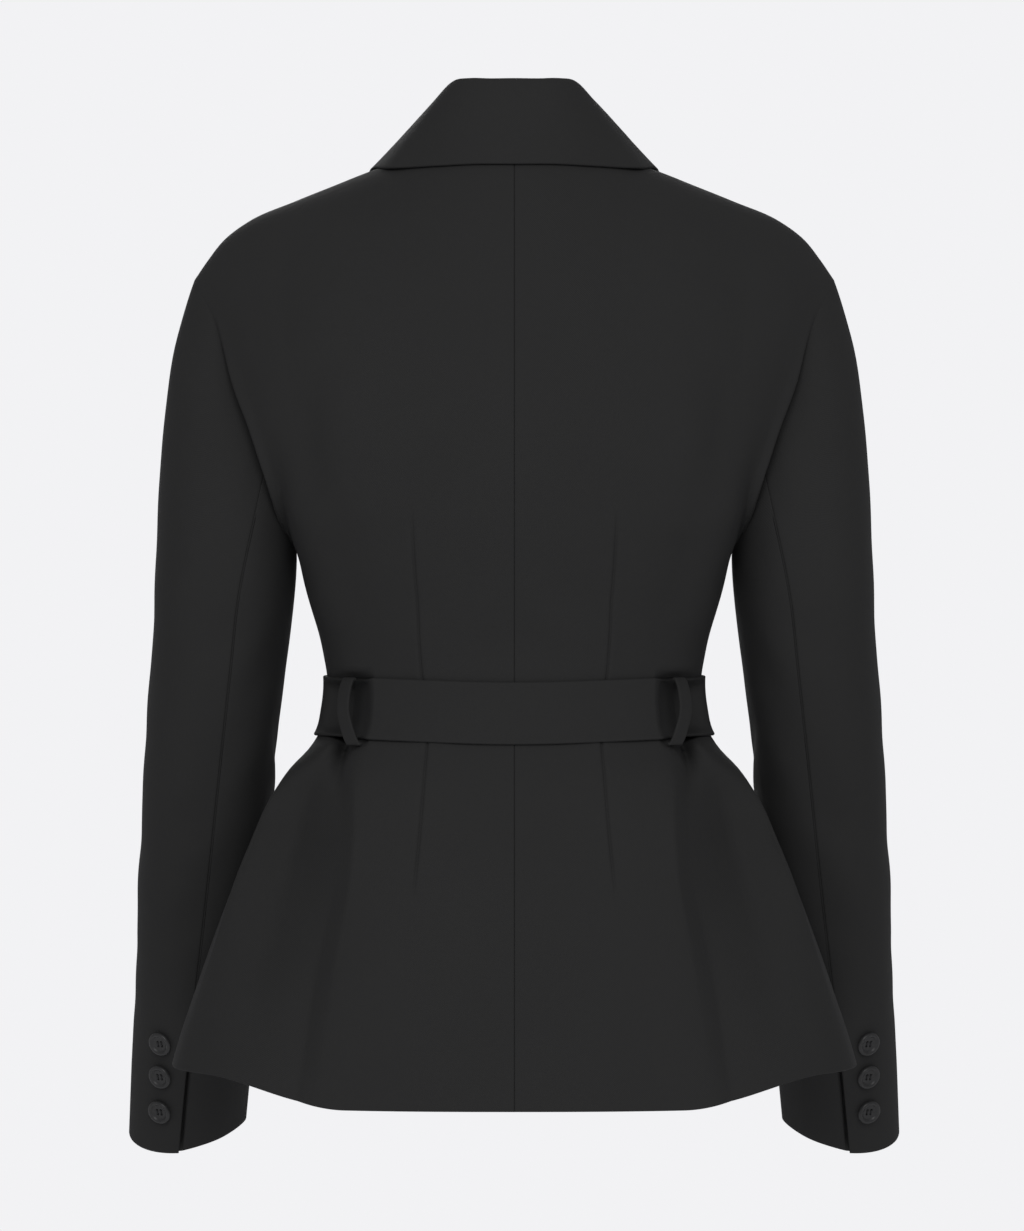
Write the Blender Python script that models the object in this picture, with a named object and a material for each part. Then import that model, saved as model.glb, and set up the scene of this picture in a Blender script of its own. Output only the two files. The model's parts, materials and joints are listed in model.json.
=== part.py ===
"""Belted jacket in black wool cloth, filled out as if worn.

Metres, +Z up. The front faces -Y and the wearer's left is +X. The origin lies on the centre line,
between the two points where the shoulder seams meet the neck, and the wearer holds the jacket there.
"""

import math

import bpy
import numpy as np

MM = 0.001

# Cloth and making
CLOTH = 2.0 * MM
BELT_CLOTH = 2.2 * MM
SEAM = 0.3 * MM
LAY = 0.5 * MM

# Heights of the body
HEM = -608 * MM
UNDERARM = -256 * MM
BELT_TOP = -341 * MM
BELT_BOTTOM = -381 * MM
BREAK = -335 * MM
HEM_RISE = 16 * MM
HEM_RISE_FROM = math.radians(38)
HEM_RISE_FRONT = math.radians(55)

# Seams round the body, as angles from the centre back
SIDE = math.radians(91)
NECK_SHARE = 0.34
OVERLAP = 36 * MM
LAP_FROM = math.radians(136)
LAP_FULL = math.radians(158)
LAP_LIFT = CLOTH + 2 * LAY
LAP_FADE = (1.15, 1.40)

# Fold that opens below the belt beside the flat of the back, and a softer one in front
FOLD_TURN = math.radians(59)
FOLD_INNER = math.radians(4.5)
FOLD_OUTER = math.radians(12)
FRONT_FOLD_SHARE = 0.45

# Body sections in millimetres: height, half width, back depth, front depth, depth of the widest line,
# squareness of the back, squareness of the front, fold depth
BODY = np.array([
    (-612, 229.0, 150.0, -150.0, 28, 2.50, 1.85, 3.0),
    (-560, 213.0, 143.0, -143.0, 28, 2.50, 1.85, 4.5),
    (-518, 199.0, 135.5, -136.0, 27, 2.60, 1.85, 6.5),
    (-485, 187.0, 128.0, -130.0, 25, 2.70, 1.85, 8.5),
    (-451, 173.5, 119.5, -123.0, 22, 2.80, 1.85, 10.5),
    (-416, 157.5, 110.5, -115.0, 18, 2.90, 2.10, 12.0),
    (-400, 146.5, 106.0, -110.5, 15, 2.80, 2.10, 12.0),
    (-388, 135.0, 102.0, -106.0, 12, 2.60, 2.10, 10.0),
    (-378, 128.5, 99.0, -103.0, 10, 2.45, 2.10, 6.5),
    (-361, 124.3, 96.5, -100.5, 8, 2.35, 2.10, 0.0),
    (-341, 123.0, 95.5, -99.5, 6, 2.35, 2.10, 0.0),
    (-325, 125.5, 97.0, -102.0, 5, 2.40, 2.10, 0.0),
    (-300, 132.0, 101.5, -110.0, 3, 2.50, 2.15, 0.0),
    (-278, 138.0, 105.5, -116.5, 1, 2.62, 2.20, 0.0),
    (-256, 143.9, 109.5, -120.5, 0, 2.75, 2.25, 0.0),
])

# Line over the shoulders in millimetres: x, y, z. The shoulder seam runs from the neck to the tip.
# Inside the neck the line closes over the part of the back that the neckline cuts away
RIDGE = np.array([(0, 4, 33), (25, 4, 29), (50, 3, 15.5)])
SHOULDER = np.array([
    (73, 2, 1), (109, 0, -14), (143.5, -2, -27.5), (174.5, -4, -40.5),
    (191.5, -5, -53), (202, -5, -66), (211, -5, -79),
])

# Depth of the back neckline as a share of the upper back, and the direction at the shoulder seam
NECK_CUT = 0.23
AT_SHOULDER = np.array((0.0, 1.0, 0.06))

# Armhole in millimetres: angle round the arm from its outer side towards the back, x, y, z
ARMHOLE = np.array([
    (0, 211.0, -5, -79), (30, 207.5, 14, -86), (55, 195.0, 34, -110), (75, 181.5, 48, -151),
    (92, 169.0, 56, -180), (105, 161.0, 57, -203), (125, 152.5, 49, -229), (150, 146.0, 28, -249),
    (180, 143.9, 0, -256), (210, 146.0, -29, -247), (235, 152.5, -52, -222), (255, 161.0, -61, -190),
    (275, 172.0, -61, -155), (300, 189.5, -47, -116), (330, 206.5, -24, -88),
])

# Sleeve rings in millimetres and degrees: height, centre x, centre y, half width, half depth,
# drop of the back, drop of the outer side, angle of the hind-arm seam
SLEEVE = np.array([
    (-300, 192.5, -8, 45.5, 64.0, 4, 0, 105),
    (-356, 198.5, -18, 44.2, 60.0, 7, 0, 104),
    (-409, 204.0, -33, 43.4, 56.0, 10, 0, 102),
    (-470, 209.5, -54, 42.8, 52.5, 13, 0, 98.5),
    (-530, 214.5, -77, 42.2, 49.5, 16, 1, 93.5),
    (-590, 220.0, -101, 41.7, 46.5, 18, 3, 89),
    (-653, 226.0, -127, 40.6, 44.0, 19, 5, 86),
])
HIND_SEAM = 105
FORE_SEAM = 240
CAP_BULGE = 0.25
CAP_TAPER = 1.5
BACK_CALM = 0.25
FRONT_CALM = 0.45
EDGE_ROUND = 0.35
VENT_FROM = 0.76
VENT_STEP = 2.6 * MM
VENT_RAMP = 0.03
VENT_SPREAD = 55

# Collar: share of its half length at the shoulder, and the share of the front edge at the underarm
COLLAR_NECK = 0.24
EDGE_UNDERARM = 0.75
# Fold line of the collar in millimetres from the seam: share of the half length, x, y, z
COLLAR_FOLD = np.array([
    (0.00, 0.0, 0.0, 35.0), (0.08, 1.0, 0.0, 36.0), (0.16, -8.0, 3.0, 34.5), (0.24, -18.5, 6.0, 27.0),
    (0.31, -14.0, -2.0, 24.0), (0.38, -7.0, -4.5, 17.5), (0.45, -5.0, -3.5, 9.0), (0.54, -4.0, -2.4, 4.0),
    (0.65, -3.6, -1.5, 1.5), (1.00, -3.6, -1.3, 0.0),
])
# Outer edge of the collar on the back: share of the way to the shoulder, angle share, drop of height
COLLAR_BACK = np.array([
    (0.00, 0.000, 0.107), (0.20, 0.113, 0.120), (0.40, 0.219, 0.142), (0.55, 0.289, 0.159),
    (0.65, 0.330, 0.167), (0.75, 0.366, 0.147), (0.84, 0.392, 0.121), (0.92, 0.416, 0.088),
    (1.00, 0.432, 0.000),
])
# Outer edge of the collar on the front: height share, place across the front
COLLAR_FRONT = np.array([
    (2.00, 0.86), (1.85, 0.72), (1.70, 0.60), (1.55, 0.53), (1.40, 0.52), (1.25, 0.57),
    (1.10, 0.68), (0.95, 0.82), (0.80, 0.925), (0.70, 0.95),
])
FALL_FOLD = 0.30
# Roundness of the fold, at the neck and where it turns into the lapel, and how the lapel rolls
LAPEL_TURN = 0.22
LAPEL_ROLL = 0.75
STAND_ROUND = 12 * MM
FALL_ROUND = 22 * MM
FALL_END = 0.9
FALL_LAY = 2.4 * MM
ROLL_HEIGHT = 1.8 * MM
ROLL_REACH = 18 * MM
ROLL_TURN = 3 * MM
COLLAR_END_LEAN = 0.6
LEFT_COLLAR_SEAM_END = -204 * MM
LEFT_COLLAR_EDGE_END = -272 * MM

# Belt, loops and buttons
BELT_START = math.radians(210)
BELT_END = math.radians(-212)
BELT_LAP = (math.radians(-125), math.radians(-148))
BELT_CLIMB = (math.radians(144), math.radians(157))
LOOP_WIDTH = 11 * MM
LOOP_CLOTH = 1.8 * MM
# Loop in millimetres and degrees: height, distance of its inner side from the body, angle
LOOP = np.array([
    (-333.5, 0.6, 62.5), (-337, 2.4, 62.3), (-342, 5.0, 62.0), (-350, 7.0, 61.0), (-361, 7.8, 59.3),
    (-372, 7.2, 56.8), (-380, 5.2, 54.8), (-385, 2.6, 53.4), (-389, 0.4, 52.2),
])
BUTTON_RADIUS = 8.3 * MM
BUTTON_ANGLE = 85
BUTTON_PLACES = (0.791, 0.8565, 0.922)
# Button turned about its axis, in shares of its radius: distance from the axis, height
BUTTON_PROFILE = np.array([
    (0.00, 0.00), (0.78, 0.00), (1.00, 0.20), (0.96, 0.36), (0.84, 0.42), (0.72, 0.38), (0.60, 0.26),
    (0.00, 0.24),
])
BUTTON_SIDES = 16

# Rows and columns of the walls
LOWER_HEIGHTS = (
    -608, -578, -546, -514, -482, -452, -426, -406,
    -392, -381, -371, -361, -341, -320, -299, -278,
)
UPPER_ROWS = 12
NECK_COLUMNS = 5
LAPEL_COLUMNS = 16
STAND_SECTIONS = (0, 0.4, 0.75, 1.0)
FALL_SECTIONS = (0.03, 0.08, 0.17, 0.3, 0.48, 0.66, 0.84, 1.0)
BELT_COLUMNS = 85
BELT_HEIGHTS = (-381, -371, -361, -341)
SHOULDER_COLUMNS = 16
ARM_STEP = 15
CAP_ROWS = 5
TUBE_ROWS = 11

WOOL = (0.022, 0.022, 0.024, 1.0)
HORN = (0.045, 0.045, 0.048, 1.0)
WOOL_ROUGHNESS = 0.85
HORN_ROUGHNESS = 0.4

# Small step for directions, and how far two directions at a seam agree before they are averaged
STEP = 1e-3
TINY = 1e-12
OPPOSED = -0.3
AGREED = 0.4


def spline(knots, values, at):
    """Smooth curve through the rows of a table, each slope a weighted mean of its two neighbours."""
    knots = np.asarray(knots, float)
    values = np.asarray(values, float)
    if knots[0] > knots[-1]:
        knots = knots[::-1]
        values = values[::-1]
    span = np.diff(knots)
    shape = (-1,) + (1,) * (values.ndim - 1)
    secant = np.diff(values, axis=0) / span.reshape(shape)
    before = span[:-1].reshape(shape)
    after = span[1:].reshape(shape)
    middle = (secant[:-1] * after + secant[1:] * before) / (before + after)
    slope = np.concatenate([secant[:1], middle, secant[-1:]])
    at = np.asarray(at, float)
    row = np.clip(np.searchsorted(knots, at) - 1, 0, len(knots) - 2)
    part = (at - knots[row]) / span[row]
    grow = at.shape + (1,) * (values.ndim - 1)
    part = part.reshape(grow)
    width = span[row].reshape(grow)
    return hermite(values[row], slope[row] * width, values[row + 1], slope[row + 1] * width, part)


def hermite(start, leave, end, arrive, part):
    """Cubic from start to end with the two given end slopes."""
    square = part * part
    cube = square * part
    return ((2 * cube - 3 * square + 1) * start + (cube - 2 * square + part) * leave
            + (3 * square - 2 * cube) * end + (cube - square) * arrive)


def ease(value):
    """Smooth step from 0 to 1."""
    value = np.clip(value, 0.0, 1.0)
    return value * value * (3 - 2 * value)


def unit(vectors):
    """Vectors scaled to length one."""
    return vectors / np.maximum(np.linalg.norm(vectors, axis=-1, keepdims=True), TINY)


def mix(first, second, share):
    """Straight blend of two arrays."""
    return first + (second - first) * share


def fold(turn):
    """Share of the fold depth at an angle from the centre back, on the back and on the front."""
    past = turn - FOLD_TURN
    back = np.exp(-(past / np.where(past < 0, FOLD_INNER, FOLD_OUTER)) ** 2)
    past = (math.pi - turn) - FOLD_TURN
    front = np.exp(-(past / FOLD_OUTER) ** 2)
    return back + FRONT_FOLD_SHARE * front


def body(turn, height, folds=True):
    """Body at an angle from the centre back and a height: a squared oval less the folds."""
    turn, height = np.broadcast_arrays(np.asarray(turn, float), np.asarray(height, float))
    section = spline(BODY[:, 0] * MM, BODY[:, 1:], height)
    wide, back, front, middle = (section[..., i] * MM for i in range(4))
    is_back = np.cos(turn) >= 0
    deep = np.where(is_back, back - middle, middle - front)
    square = np.where(is_back, section[..., 4], section[..., 5])
    sideways = np.abs(np.sin(turn) / wide) ** square
    lengthways = np.abs(np.cos(turn) / deep) ** square
    radius = (sideways + lengthways) ** (-1 / square)
    if folds:
        mirrored = np.abs((turn + math.pi) % (2 * math.pi) - math.pi)
        radius = radius - np.maximum(section[..., 6], 0) * MM * fold(mirrored)
    return np.stack([radius * np.sin(turn), middle + radius * np.cos(turn), height], axis=-1)


def lower(turn, up):
    """Body from the hem (0) to the underarm (1), with the hem lifted at the hips."""
    belt_share = (BELT_BOTTOM - HEM) / (UNDERARM - HEM)
    mirrored = np.abs((turn + math.pi) % (2 * math.pi) - math.pi)
    hips = ease((mirrored - HEM_RISE_FROM) / (math.pi / 2 - HEM_RISE_FROM))
    hips = hips * ease((math.pi - mirrored) / HEM_RISE_FRONT)
    lift = HEM_RISE * hips * np.clip(1 - up / belt_share, 0, 1) ** 2
    return body(turn, mix(HEM, UNDERARM, up) + lift)


def armhole(angle):
    """Armhole of the left side at an angle round the arm, in degrees."""
    table = np.vstack([ARMHOLE[-3:] - (360, 0, 0, 0), ARMHOLE, ARMHOLE[:3] + (360, 0, 0, 0)])
    return spline(table[:, 0], table[:, 1:] * MM, np.asarray(angle, float) % 360)


def climb(start_turn, end, arrive, part):
    """Wall from the underarm row up to an edge that it meets in a given direction."""
    start = body(start_turn, UNDERARM)
    rise = unit(start - body(start_turn, UNDERARM - STEP))
    reach = np.linalg.norm(end - start, axis=-1, keepdims=True)
    return hermite(start, rise * reach, end, arrive * reach, part[..., None])


def top_edge(share):
    """Line over the left shoulder, from the centre (0) over the neck point (NECK_SHARE) to its tip (1)."""
    steps = np.linalg.norm(np.diff(SHOULDER, axis=0), axis=1)
    seam = mix(NECK_SHARE, 1.0, np.concatenate([[0.0], np.cumsum(steps)]) / steps.sum())
    neck = RIDGE[:, 0] / SHOULDER[0, 0] * NECK_SHARE
    knots = np.concatenate([-neck[:0:-1], neck, seam])
    rows = np.vstack([RIDGE[:0:-1] * (-1, 1, 1), RIDGE, SHOULDER])
    return spline(knots, rows * MM, share)


def back(turn, up):
    """Left back: angle from the centre back, and height from hem (0) over underarm (1) to the top (2)."""
    turn, up = np.broadcast_arrays(np.asarray(turn, float), np.asarray(up, float))
    cut = NECK_CUT * np.clip(1 - (turn / SIDE / NECK_SHARE) ** 2, 0, 1)
    part = np.maximum(up - 1, 0) * (1 - cut)

    def rising(angle):
        return climb(angle, top_edge(angle / SIDE), -AT_SHOULDER, part)

    side = rising(np.full_like(turn, SIDE))
    pull = np.clip((turn / SIDE - BACK_CALM) / (1 - BACK_CALM), 0, None)[..., None] ** 2
    wall = rising(turn) + pull * (armhole(180 - 180 * part) - side)
    return np.where((up > 1)[..., None], wall, lower(turn, np.minimum(up, 1)))


def edge_turn(height):
    """Angle of the front edge, past the centre front below the break and sloping to the neck above it."""
    front = spline(BODY[:, 0] * MM, BODY[:, 3:5] * MM, height)
    deep = front[..., 1] - front[..., 0]
    slope = (SHOULDER[0, 0] * MM + OVERLAP) / -BREAK
    past = OVERLAP - np.maximum(height - BREAK, 0) * slope
    return math.pi + np.arctan2(past, deep)


def front(across, up):
    """Left front: side seam (0) to front edge (1), and hem (0) over underarm (1) to shoulder (2)."""
    across, up = np.broadcast_arrays(np.asarray(across, float), np.asarray(up, float))
    part = np.maximum(up - 1, 0)
    height = mix(HEM, UNDERARM, np.minimum(up, 1))
    turn = mix(SIDE, edge_turn(height), across)
    base = mix(SIDE, edge_turn(np.full_like(height, UNDERARM)), across)
    edge = body(edge_turn(np.full_like(height, UNDERARM)), UNDERARM)
    neck = SHOULDER[0] * MM

    def wall_at(place, start_turn):
        end = top_edge(mix(1.0, NECK_SHARE, place))
        near = ease((1 - place) / FRONT_CALM)[..., None]
        arrive = unit(mix(unit(neck - edge), AT_SHOULDER, near))
        start = body(start_turn, UNDERARM)
        rise = unit(start - body(start_turn, UNDERARM - STEP))
        rise = unit(mix(unit(neck - edge), rise, mix(EDGE_ROUND, 1.0, near)))
        reach = np.linalg.norm(end - start, axis=-1, keepdims=True)
        return hermite(start, rise * reach, end, arrive * reach, part[..., None])

    wall = wall_at(across, base)
    side = np.zeros_like(across)
    pull = np.clip(1 - across / (1 - BACK_CALM), 0, None)[..., None] ** 2
    wall = wall + pull * (armhole(180 + 180 * part) - wall_at(side, np.full_like(base, SIDE)))
    return np.where((up > 1)[..., None], wall, lower(turn, np.minimum(up, 1)))


def normals(surface, across, up):
    """Outward directions of a surface, from small steps along its two coordinates."""
    along_across = surface(across + STEP, up) - surface(across - STEP, up)
    along_up = surface(across, up + STEP) - surface(across, up - STEP)
    return unit(np.cross(along_up, along_across))


def lapped_front(across, up):
    """Front of the right side, drawn as a left one, lifted off the front beneath it near the centre."""
    across, up = np.broadcast_arrays(np.asarray(across, float), np.asarray(up, float))
    turn = mix(SIDE, edge_turn(mix(HEM, UNDERARM, np.minimum(up, 1))), across)
    fade = 1 - ease((up - LAP_FADE[0]) / (LAP_FADE[1] - LAP_FADE[0]))
    lift = LAP_LIFT * fade * ease((turn - LAP_FROM) / (LAP_FULL - LAP_FROM))
    return front(across, up) + lift[..., None] * normals(front, across, up)


def ring(angle, share):
    """Sleeve ring point at an angle round the arm in degrees, from the upper arm (0) to the cuff (1)."""
    angle, share = np.broadcast_arrays(np.asarray(angle, float), np.asarray(share, float))
    height = mix(SLEEVE[0, 0], SLEEVE[-1, 0], share)
    row = spline(SLEEVE[:, 0], SLEEVE[:, 1:], height)
    around = np.radians(angle + row[..., 6] - HIND_SEAM)
    outwards = row[..., 2] * MM * np.cos(around)
    backwards = row[..., 3] * MM * np.sin(around)
    drop_back = np.radians(row[..., 4])
    drop_out = np.radians(row[..., 5])
    return np.stack([
        row[..., 0] * MM + outwards * np.cos(drop_out),
        row[..., 1] * MM + backwards * np.cos(drop_back),
        height * MM - outwards * np.sin(drop_out) - backwards * np.sin(drop_back),
    ], axis=-1)


def sleeve(angle, down):
    """Left sleeve: angle round the arm, and armhole (0) over the upper arm (1) to the cuff (2)."""
    angle, down = np.broadcast_arrays(np.asarray(angle, float), np.asarray(down, float))
    start = armhole(angle)
    end = ring(angle, 0.0)
    reach = np.linalg.norm(end - start, axis=-1, keepdims=True)
    around = np.radians(angle)
    outwards = np.stack([np.cos(around), np.sin(around), np.zeros_like(around)], axis=-1)
    bulge = CAP_BULGE * ((1 + np.cos(around)) / 2)[..., None] ** CAP_TAPER
    leave = end - start + bulge * reach * outwards
    arrive = unit(ring(angle, STEP) - end) * reach
    cap = hermite(start, leave, end, arrive, np.minimum(down, 1)[..., None])
    return np.where((down > 1)[..., None], ring(angle, np.maximum(down - 1, 0)), cap)


def under_sleeve(angle, down):
    """Under sleeve, set in by a step along the cuff vent so that the top sleeve laps over it."""
    angle, down = np.broadcast_arrays(np.asarray(angle, float), np.asarray(down, float))
    near = 1 - ease((angle - HIND_SEAM) / VENT_SPREAD)
    step = VENT_STEP * near * ease((down - 1 - VENT_FROM) / VENT_RAMP)
    return sleeve(angle, down) - step[..., None] * normals(sleeve, angle, down)


def seam_of_collar(front_of, share, end):
    """Edge of back and front that carries the collar: point, direction off the panel, outward direction."""
    on_neck = share < COLLAR_NECK
    turn = np.clip(share / COLLAR_NECK, 0, 1) * NECK_SHARE * SIDE
    place = np.clip((share - COLLAR_NECK) / (1 - COLLAR_NECK), 0, 1) * end
    up = edge_height(place)
    top = np.full_like(turn, 2.0)
    rim = np.ones_like(up)
    point = np.where(on_neck[..., None], back(turn, top), front_of(rim, up))
    facing = np.where(on_neck[..., None], normals(back, turn, top), normals(front_of, rim, up))
    off_back = unit(back(turn, top) - back(turn, top - STEP))
    off_front = unit(front_of(rim, up) - front_of(rim - STEP, up))
    return point, np.where(on_neck[..., None], off_back, off_front), unit(facing)


def edge_height(place):
    """Height share on the front edge at a share of the way from the neck to the break."""
    break_share = (BREAK - HEM) / (UNDERARM - HEM)
    past = (place - EDGE_UNDERARM) / (1 - EDGE_UNDERARM)
    return np.where(place < EDGE_UNDERARM, 2 - place / EDGE_UNDERARM, mix(1.0, break_share, past))


def fall_on_panel(front_of, share, end, reach):
    """Point and outward direction under the fall of the collar, at a share of its reach from the seam."""
    on_back = share < COLLAR_NECK
    way = np.clip(share / COLLAR_NECK, 0, 1)
    rim = spline(COLLAR_BACK[:, 0], COLLAR_BACK[:, 1:], way)
    turn = mix(way * NECK_SHARE, rim[..., 0], reach) * SIDE
    height = 2 - rim[..., 1] * reach
    place = np.clip((share - COLLAR_NECK) / (1 - COLLAR_NECK), 0, 1)
    up = edge_height(place * end)
    rim = spline(COLLAR_FRONT[:, 0], COLLAR_FRONT[:, 1], up)
    across = mix(1.0, rim, reach)
    point = np.where(on_back[..., None], back(turn, height), front_of(across, up))
    facing = np.where(on_back[..., None], normals(back, turn, height), normals(front_of, across, up))
    return point, unit(facing)


def collar(front_of, share, section, seam_end, edge_end):
    """Half collar: share of its length from the centre back, and section from the neck seam (0) over the
    fold line (FALL_FOLD) to the outer edge (1)."""
    share, section = np.broadcast_arrays(np.asarray(share, float), np.asarray(section, float))
    point, off, facing = seam_of_collar(front_of, share, seam_end)
    start = point + SEAM * off
    crest = point + spline(COLLAR_FOLD[:, 0], COLLAR_FOLD[:, 1:] * MM, share)
    one = np.ones_like(share)
    rest = FALL_LAY
    edge, edge_facing = fall_on_panel(front_of, share, edge_end, one)
    edge = edge + rest * edge_facing
    lapel = ease((share - COLLAR_NECK) / LAPEL_TURN)[..., None]
    over = unit(mix(edge - point, facing, LAPEL_ROLL * lapel))
    stand_part = np.clip(section / FALL_FOLD, 0, 1)[..., None]
    height = np.linalg.norm(crest - start, axis=-1, keepdims=True)
    leave = unit(mix(crest - start, off * height, lapel)) * height
    stand = hermite(start, leave, crest, over * np.minimum(height, STAND_ROUND), stand_part)
    fall_part = np.clip((section - FALL_FOLD) / (1 - FALL_FOLD), 0, None)
    width = np.linalg.norm(edge - crest, axis=-1, keepdims=True)
    leave = over * np.minimum(width / 2, FALL_ROUND)
    hang = hermite(crest, leave, edge, (edge - crest) * FALL_END, fall_part[..., None])
    seam_share = mix(seam_end, edge_end, fall_part ** COLLAR_END_LEAN)
    under, under_facing = fall_on_panel(front_of, share, seam_share, fall_part)
    away = np.linalg.norm(under - point, axis=-1, keepdims=True)
    roll = ROLL_HEIGHT * np.exp(-(away / ROLL_REACH) ** 2)
    laid = under + under_facing * (rest + roll)
    laid = laid + (crest - point - facing * (rest + ROLL_HEIGHT)) * np.exp(-(away / ROLL_TURN) ** 2)
    over_panel = np.sum((hang - under) * under_facing, axis=-1, keepdims=True)
    hang = hang + under_facing * np.maximum(rest - over_panel, 0)
    fall = mix(hang, laid, lapel)
    return np.where((section > FALL_FOLD)[..., None], fall, stand)


def belt(turn, height):
    """Inner side of the belt, wound round the body over the lapped fronts and over its own inner end."""
    turn, height = np.broadcast_arrays(np.asarray(turn, float), np.asarray(height, float))
    place = turn % (2 * math.pi)
    climbs = ease((place - BELT_CLIMB[0]) / (BELT_CLIMB[1] - BELT_CLIMB[0]))
    past_lap = ease((place + LAP_FULL - 2 * math.pi) / (LAP_FULL - LAP_FROM))
    lapped = climbs * (1 - past_lap)
    second = ease((BELT_LAP[0] - turn) / (BELT_LAP[0] - BELT_LAP[1]))
    out = LAY + LAP_LIFT * lapped + (BELT_CLOTH + LAY) * second

    def plain(angle, level):
        return body(angle, level, folds=False)

    return plain(turn, height) + out[..., None] * normals(plain, turn, height)


def paint(name, colour, roughness):
    """Principled material of one colour."""
    material = bpy.data.materials.new(name)
    material.use_nodes = True
    shader = material.node_tree.nodes["Principled BSDF"]
    shader.inputs["Base Color"].default_value = colour
    shader.inputs["Roughness"].default_value = roughness
    shader.inputs["Metallic"].default_value = 0.0
    material.diffuse_color = colour
    return material


def trim(points):
    """Grid of points drawn in by half a seam along its four edges."""
    points = points.copy()
    inset = SEAM / 2
    points[0] += inset * unit(points[1] - points[0])
    points[-1] += inset * unit(points[-2] - points[-1])
    points[:, 0] += inset * unit(points[:, 1] - points[:, 0])
    points[:, -1] += inset * unit(points[:, -2] - points[:, -1])
    return points


def link(name, points, faces, material):
    """Object of one mesh with one material, put in the scene."""
    mesh = bpy.data.meshes.new(name)
    mesh.from_pydata(points.tolist(), [], faces)
    mesh.materials.append(material)
    bpy.context.scene.collection.objects.link(bpy.data.objects.new(name, mesh))


def wall(name, outer, inner, material, mirror=False):
    """Closed wall between two grids of points, mirrored to the wearer's right where asked."""
    rows, columns = outer.shape[:2]
    number = np.arange(rows * columns).reshape(rows, columns)
    far = number + rows * columns

    def quads(a, b, c, d):
        return np.stack([a, b, c, d], axis=-1).reshape(-1, 4)

    rim = np.concatenate([number[0, :-1], number[:-1, -1], number[-1, :0:-1], number[:0:-1, 0]])
    ahead = np.roll(rim, -1)
    faces = np.concatenate([
        quads(number[:-1, :-1], number[1:, :-1], number[1:, 1:], number[:-1, 1:]),
        quads(far[:-1, :-1], far[:-1, 1:], far[1:, 1:], far[1:, :-1]),
        quads(rim, ahead, ahead + rows * columns, rim + rows * columns),
    ])
    points = np.concatenate([outer.reshape(-1, 3), inner.reshape(-1, 3)])
    if mirror:
        points = points * (-1, 1, 1)
        faces = faces[:, (0, 3, 2, 1)]
    link(name, points, faces.tolist(), material)


def grid(columns, rows):
    """Two arrays of coordinates, one row of the grid for each value in rows."""
    return np.meshgrid(np.asarray(columns, float), np.asarray(rows, float))


def neck_columns():
    """Shares of the way from the centre back to the neck point."""
    return np.linspace(0, 1, NECK_COLUMNS + 1)


def panel(name, surface, columns, rows, material, mirror=False, edge_normals=None):
    """Cloth wall under a surface."""
    across, up = grid(columns, rows)
    facing = normals(surface, across, up)
    if edge_normals is not None:
        facing = edge_normals(facing)
    outer = surface(across, up)
    inner = outer - CLOTH * facing
    wall(name, trim(outer), trim(inner), material, mirror)


def shared_facing(own, other):
    """Direction through the wall at a seam where two panels meet at an angle."""
    agree = ease((np.sum(own * other, axis=-1, keepdims=True) - OPPOSED) / (AGREED - OPPOSED))
    return unit(own + agree * other)


def armhole_facing():
    """Outward directions along the armhole of the body and of the sleeve, by angle round the arm."""
    angles = np.arange(0, 361, ARM_STEP, dtype=float)
    side = np.full_like(angles, SIDE)
    on_back = normals(back, side, 1 + (180 - np.minimum(angles, 180)) / 180)
    on_front = normals(front, np.zeros_like(angles), 1 + (np.maximum(angles, 180) - 180) / 180)
    of_body = np.where((angles <= 180)[:, None], on_back, on_front)
    of_sleeve = normals(sleeve, angles, np.full_like(angles, 2 * STEP))
    return angles, shared_facing(of_body, of_sleeve), shared_facing(of_sleeve, of_body)


def build_body(wool):
    """Backs and fronts."""
    low = (np.array(LOWER_HEIGHTS) * MM - HEM) / (UNDERARM - HEM)
    rows = np.concatenate([low, np.linspace(1, 2, UPPER_ROWS + 1)])
    shoulder = np.linspace(0, 1, SHOULDER_COLUMNS + 1)
    turns = SIDE * np.concatenate([NECK_SHARE * neck_columns()[:-1], mix(NECK_SHARE, 1.0, shoulder)])
    angles, of_body, _ = armhole_facing()
    half = len(angles) // 2
    back_rim = of_body[half::-1]
    front_rim = of_body[half:]
    top = np.full_like(shoulder, 2 - STEP)
    on_shoulder = shared_facing(normals(back, turns[NECK_COLUMNS:], top), normals(front, 1 - shoulder, top))

    def back_edges(facing):
        facing[-1, NECK_COLUMNS:] = on_shoulder
        facing[len(low):, -1] = back_rim
        facing[:, 0, 0] = 0
        return unit(facing)

    def front_edges(facing):
        facing[-1] = on_shoulder[::-1]
        facing[len(low):, 0] = front_rim
        return facing

    for side, mirror, front_of in (("left", False, front), ("right", True, lapped_front)):
        panel(f"back_{side}", back, turns, rows, wool, mirror, back_edges)
        panel(f"front_{side}", front_of, 1 - shoulder[::-1], rows, wool, mirror, front_edges)


def build_sleeves(wool):
    """Two-piece sleeves, the top sleeve outside and the under sleeve inside."""
    angles, _, of_sleeve = armhole_facing()
    rows = np.concatenate([np.linspace(0, 1, CAP_ROWS + 1), 1 + np.linspace(0, 1, TUBE_ROWS + 1)[1:]])
    rows = np.sort(np.concatenate([rows, [1 + VENT_FROM, 1 + VENT_FROM + VENT_RAMP]]))
    top = np.arange(FORE_SEAM - 360, HIND_SEAM + 1, ARM_STEP)
    under = np.arange(HIND_SEAM, FORE_SEAM + 1, ARM_STEP)

    def edges(columns):
        rim = of_sleeve[((columns % 360) // ARM_STEP).astype(int)]

        def at_armhole(facing):
            facing[0] = rim
            return facing

        return at_armhole

    for side, mirror in (("left", False), ("right", True)):
        panel(f"sleeve_top_{side}", sleeve, top, rows, wool, mirror, edges(top))
        panel(f"sleeve_under_{side}", under_sleeve, under, rows, wool, mirror, edges(under))


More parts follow.
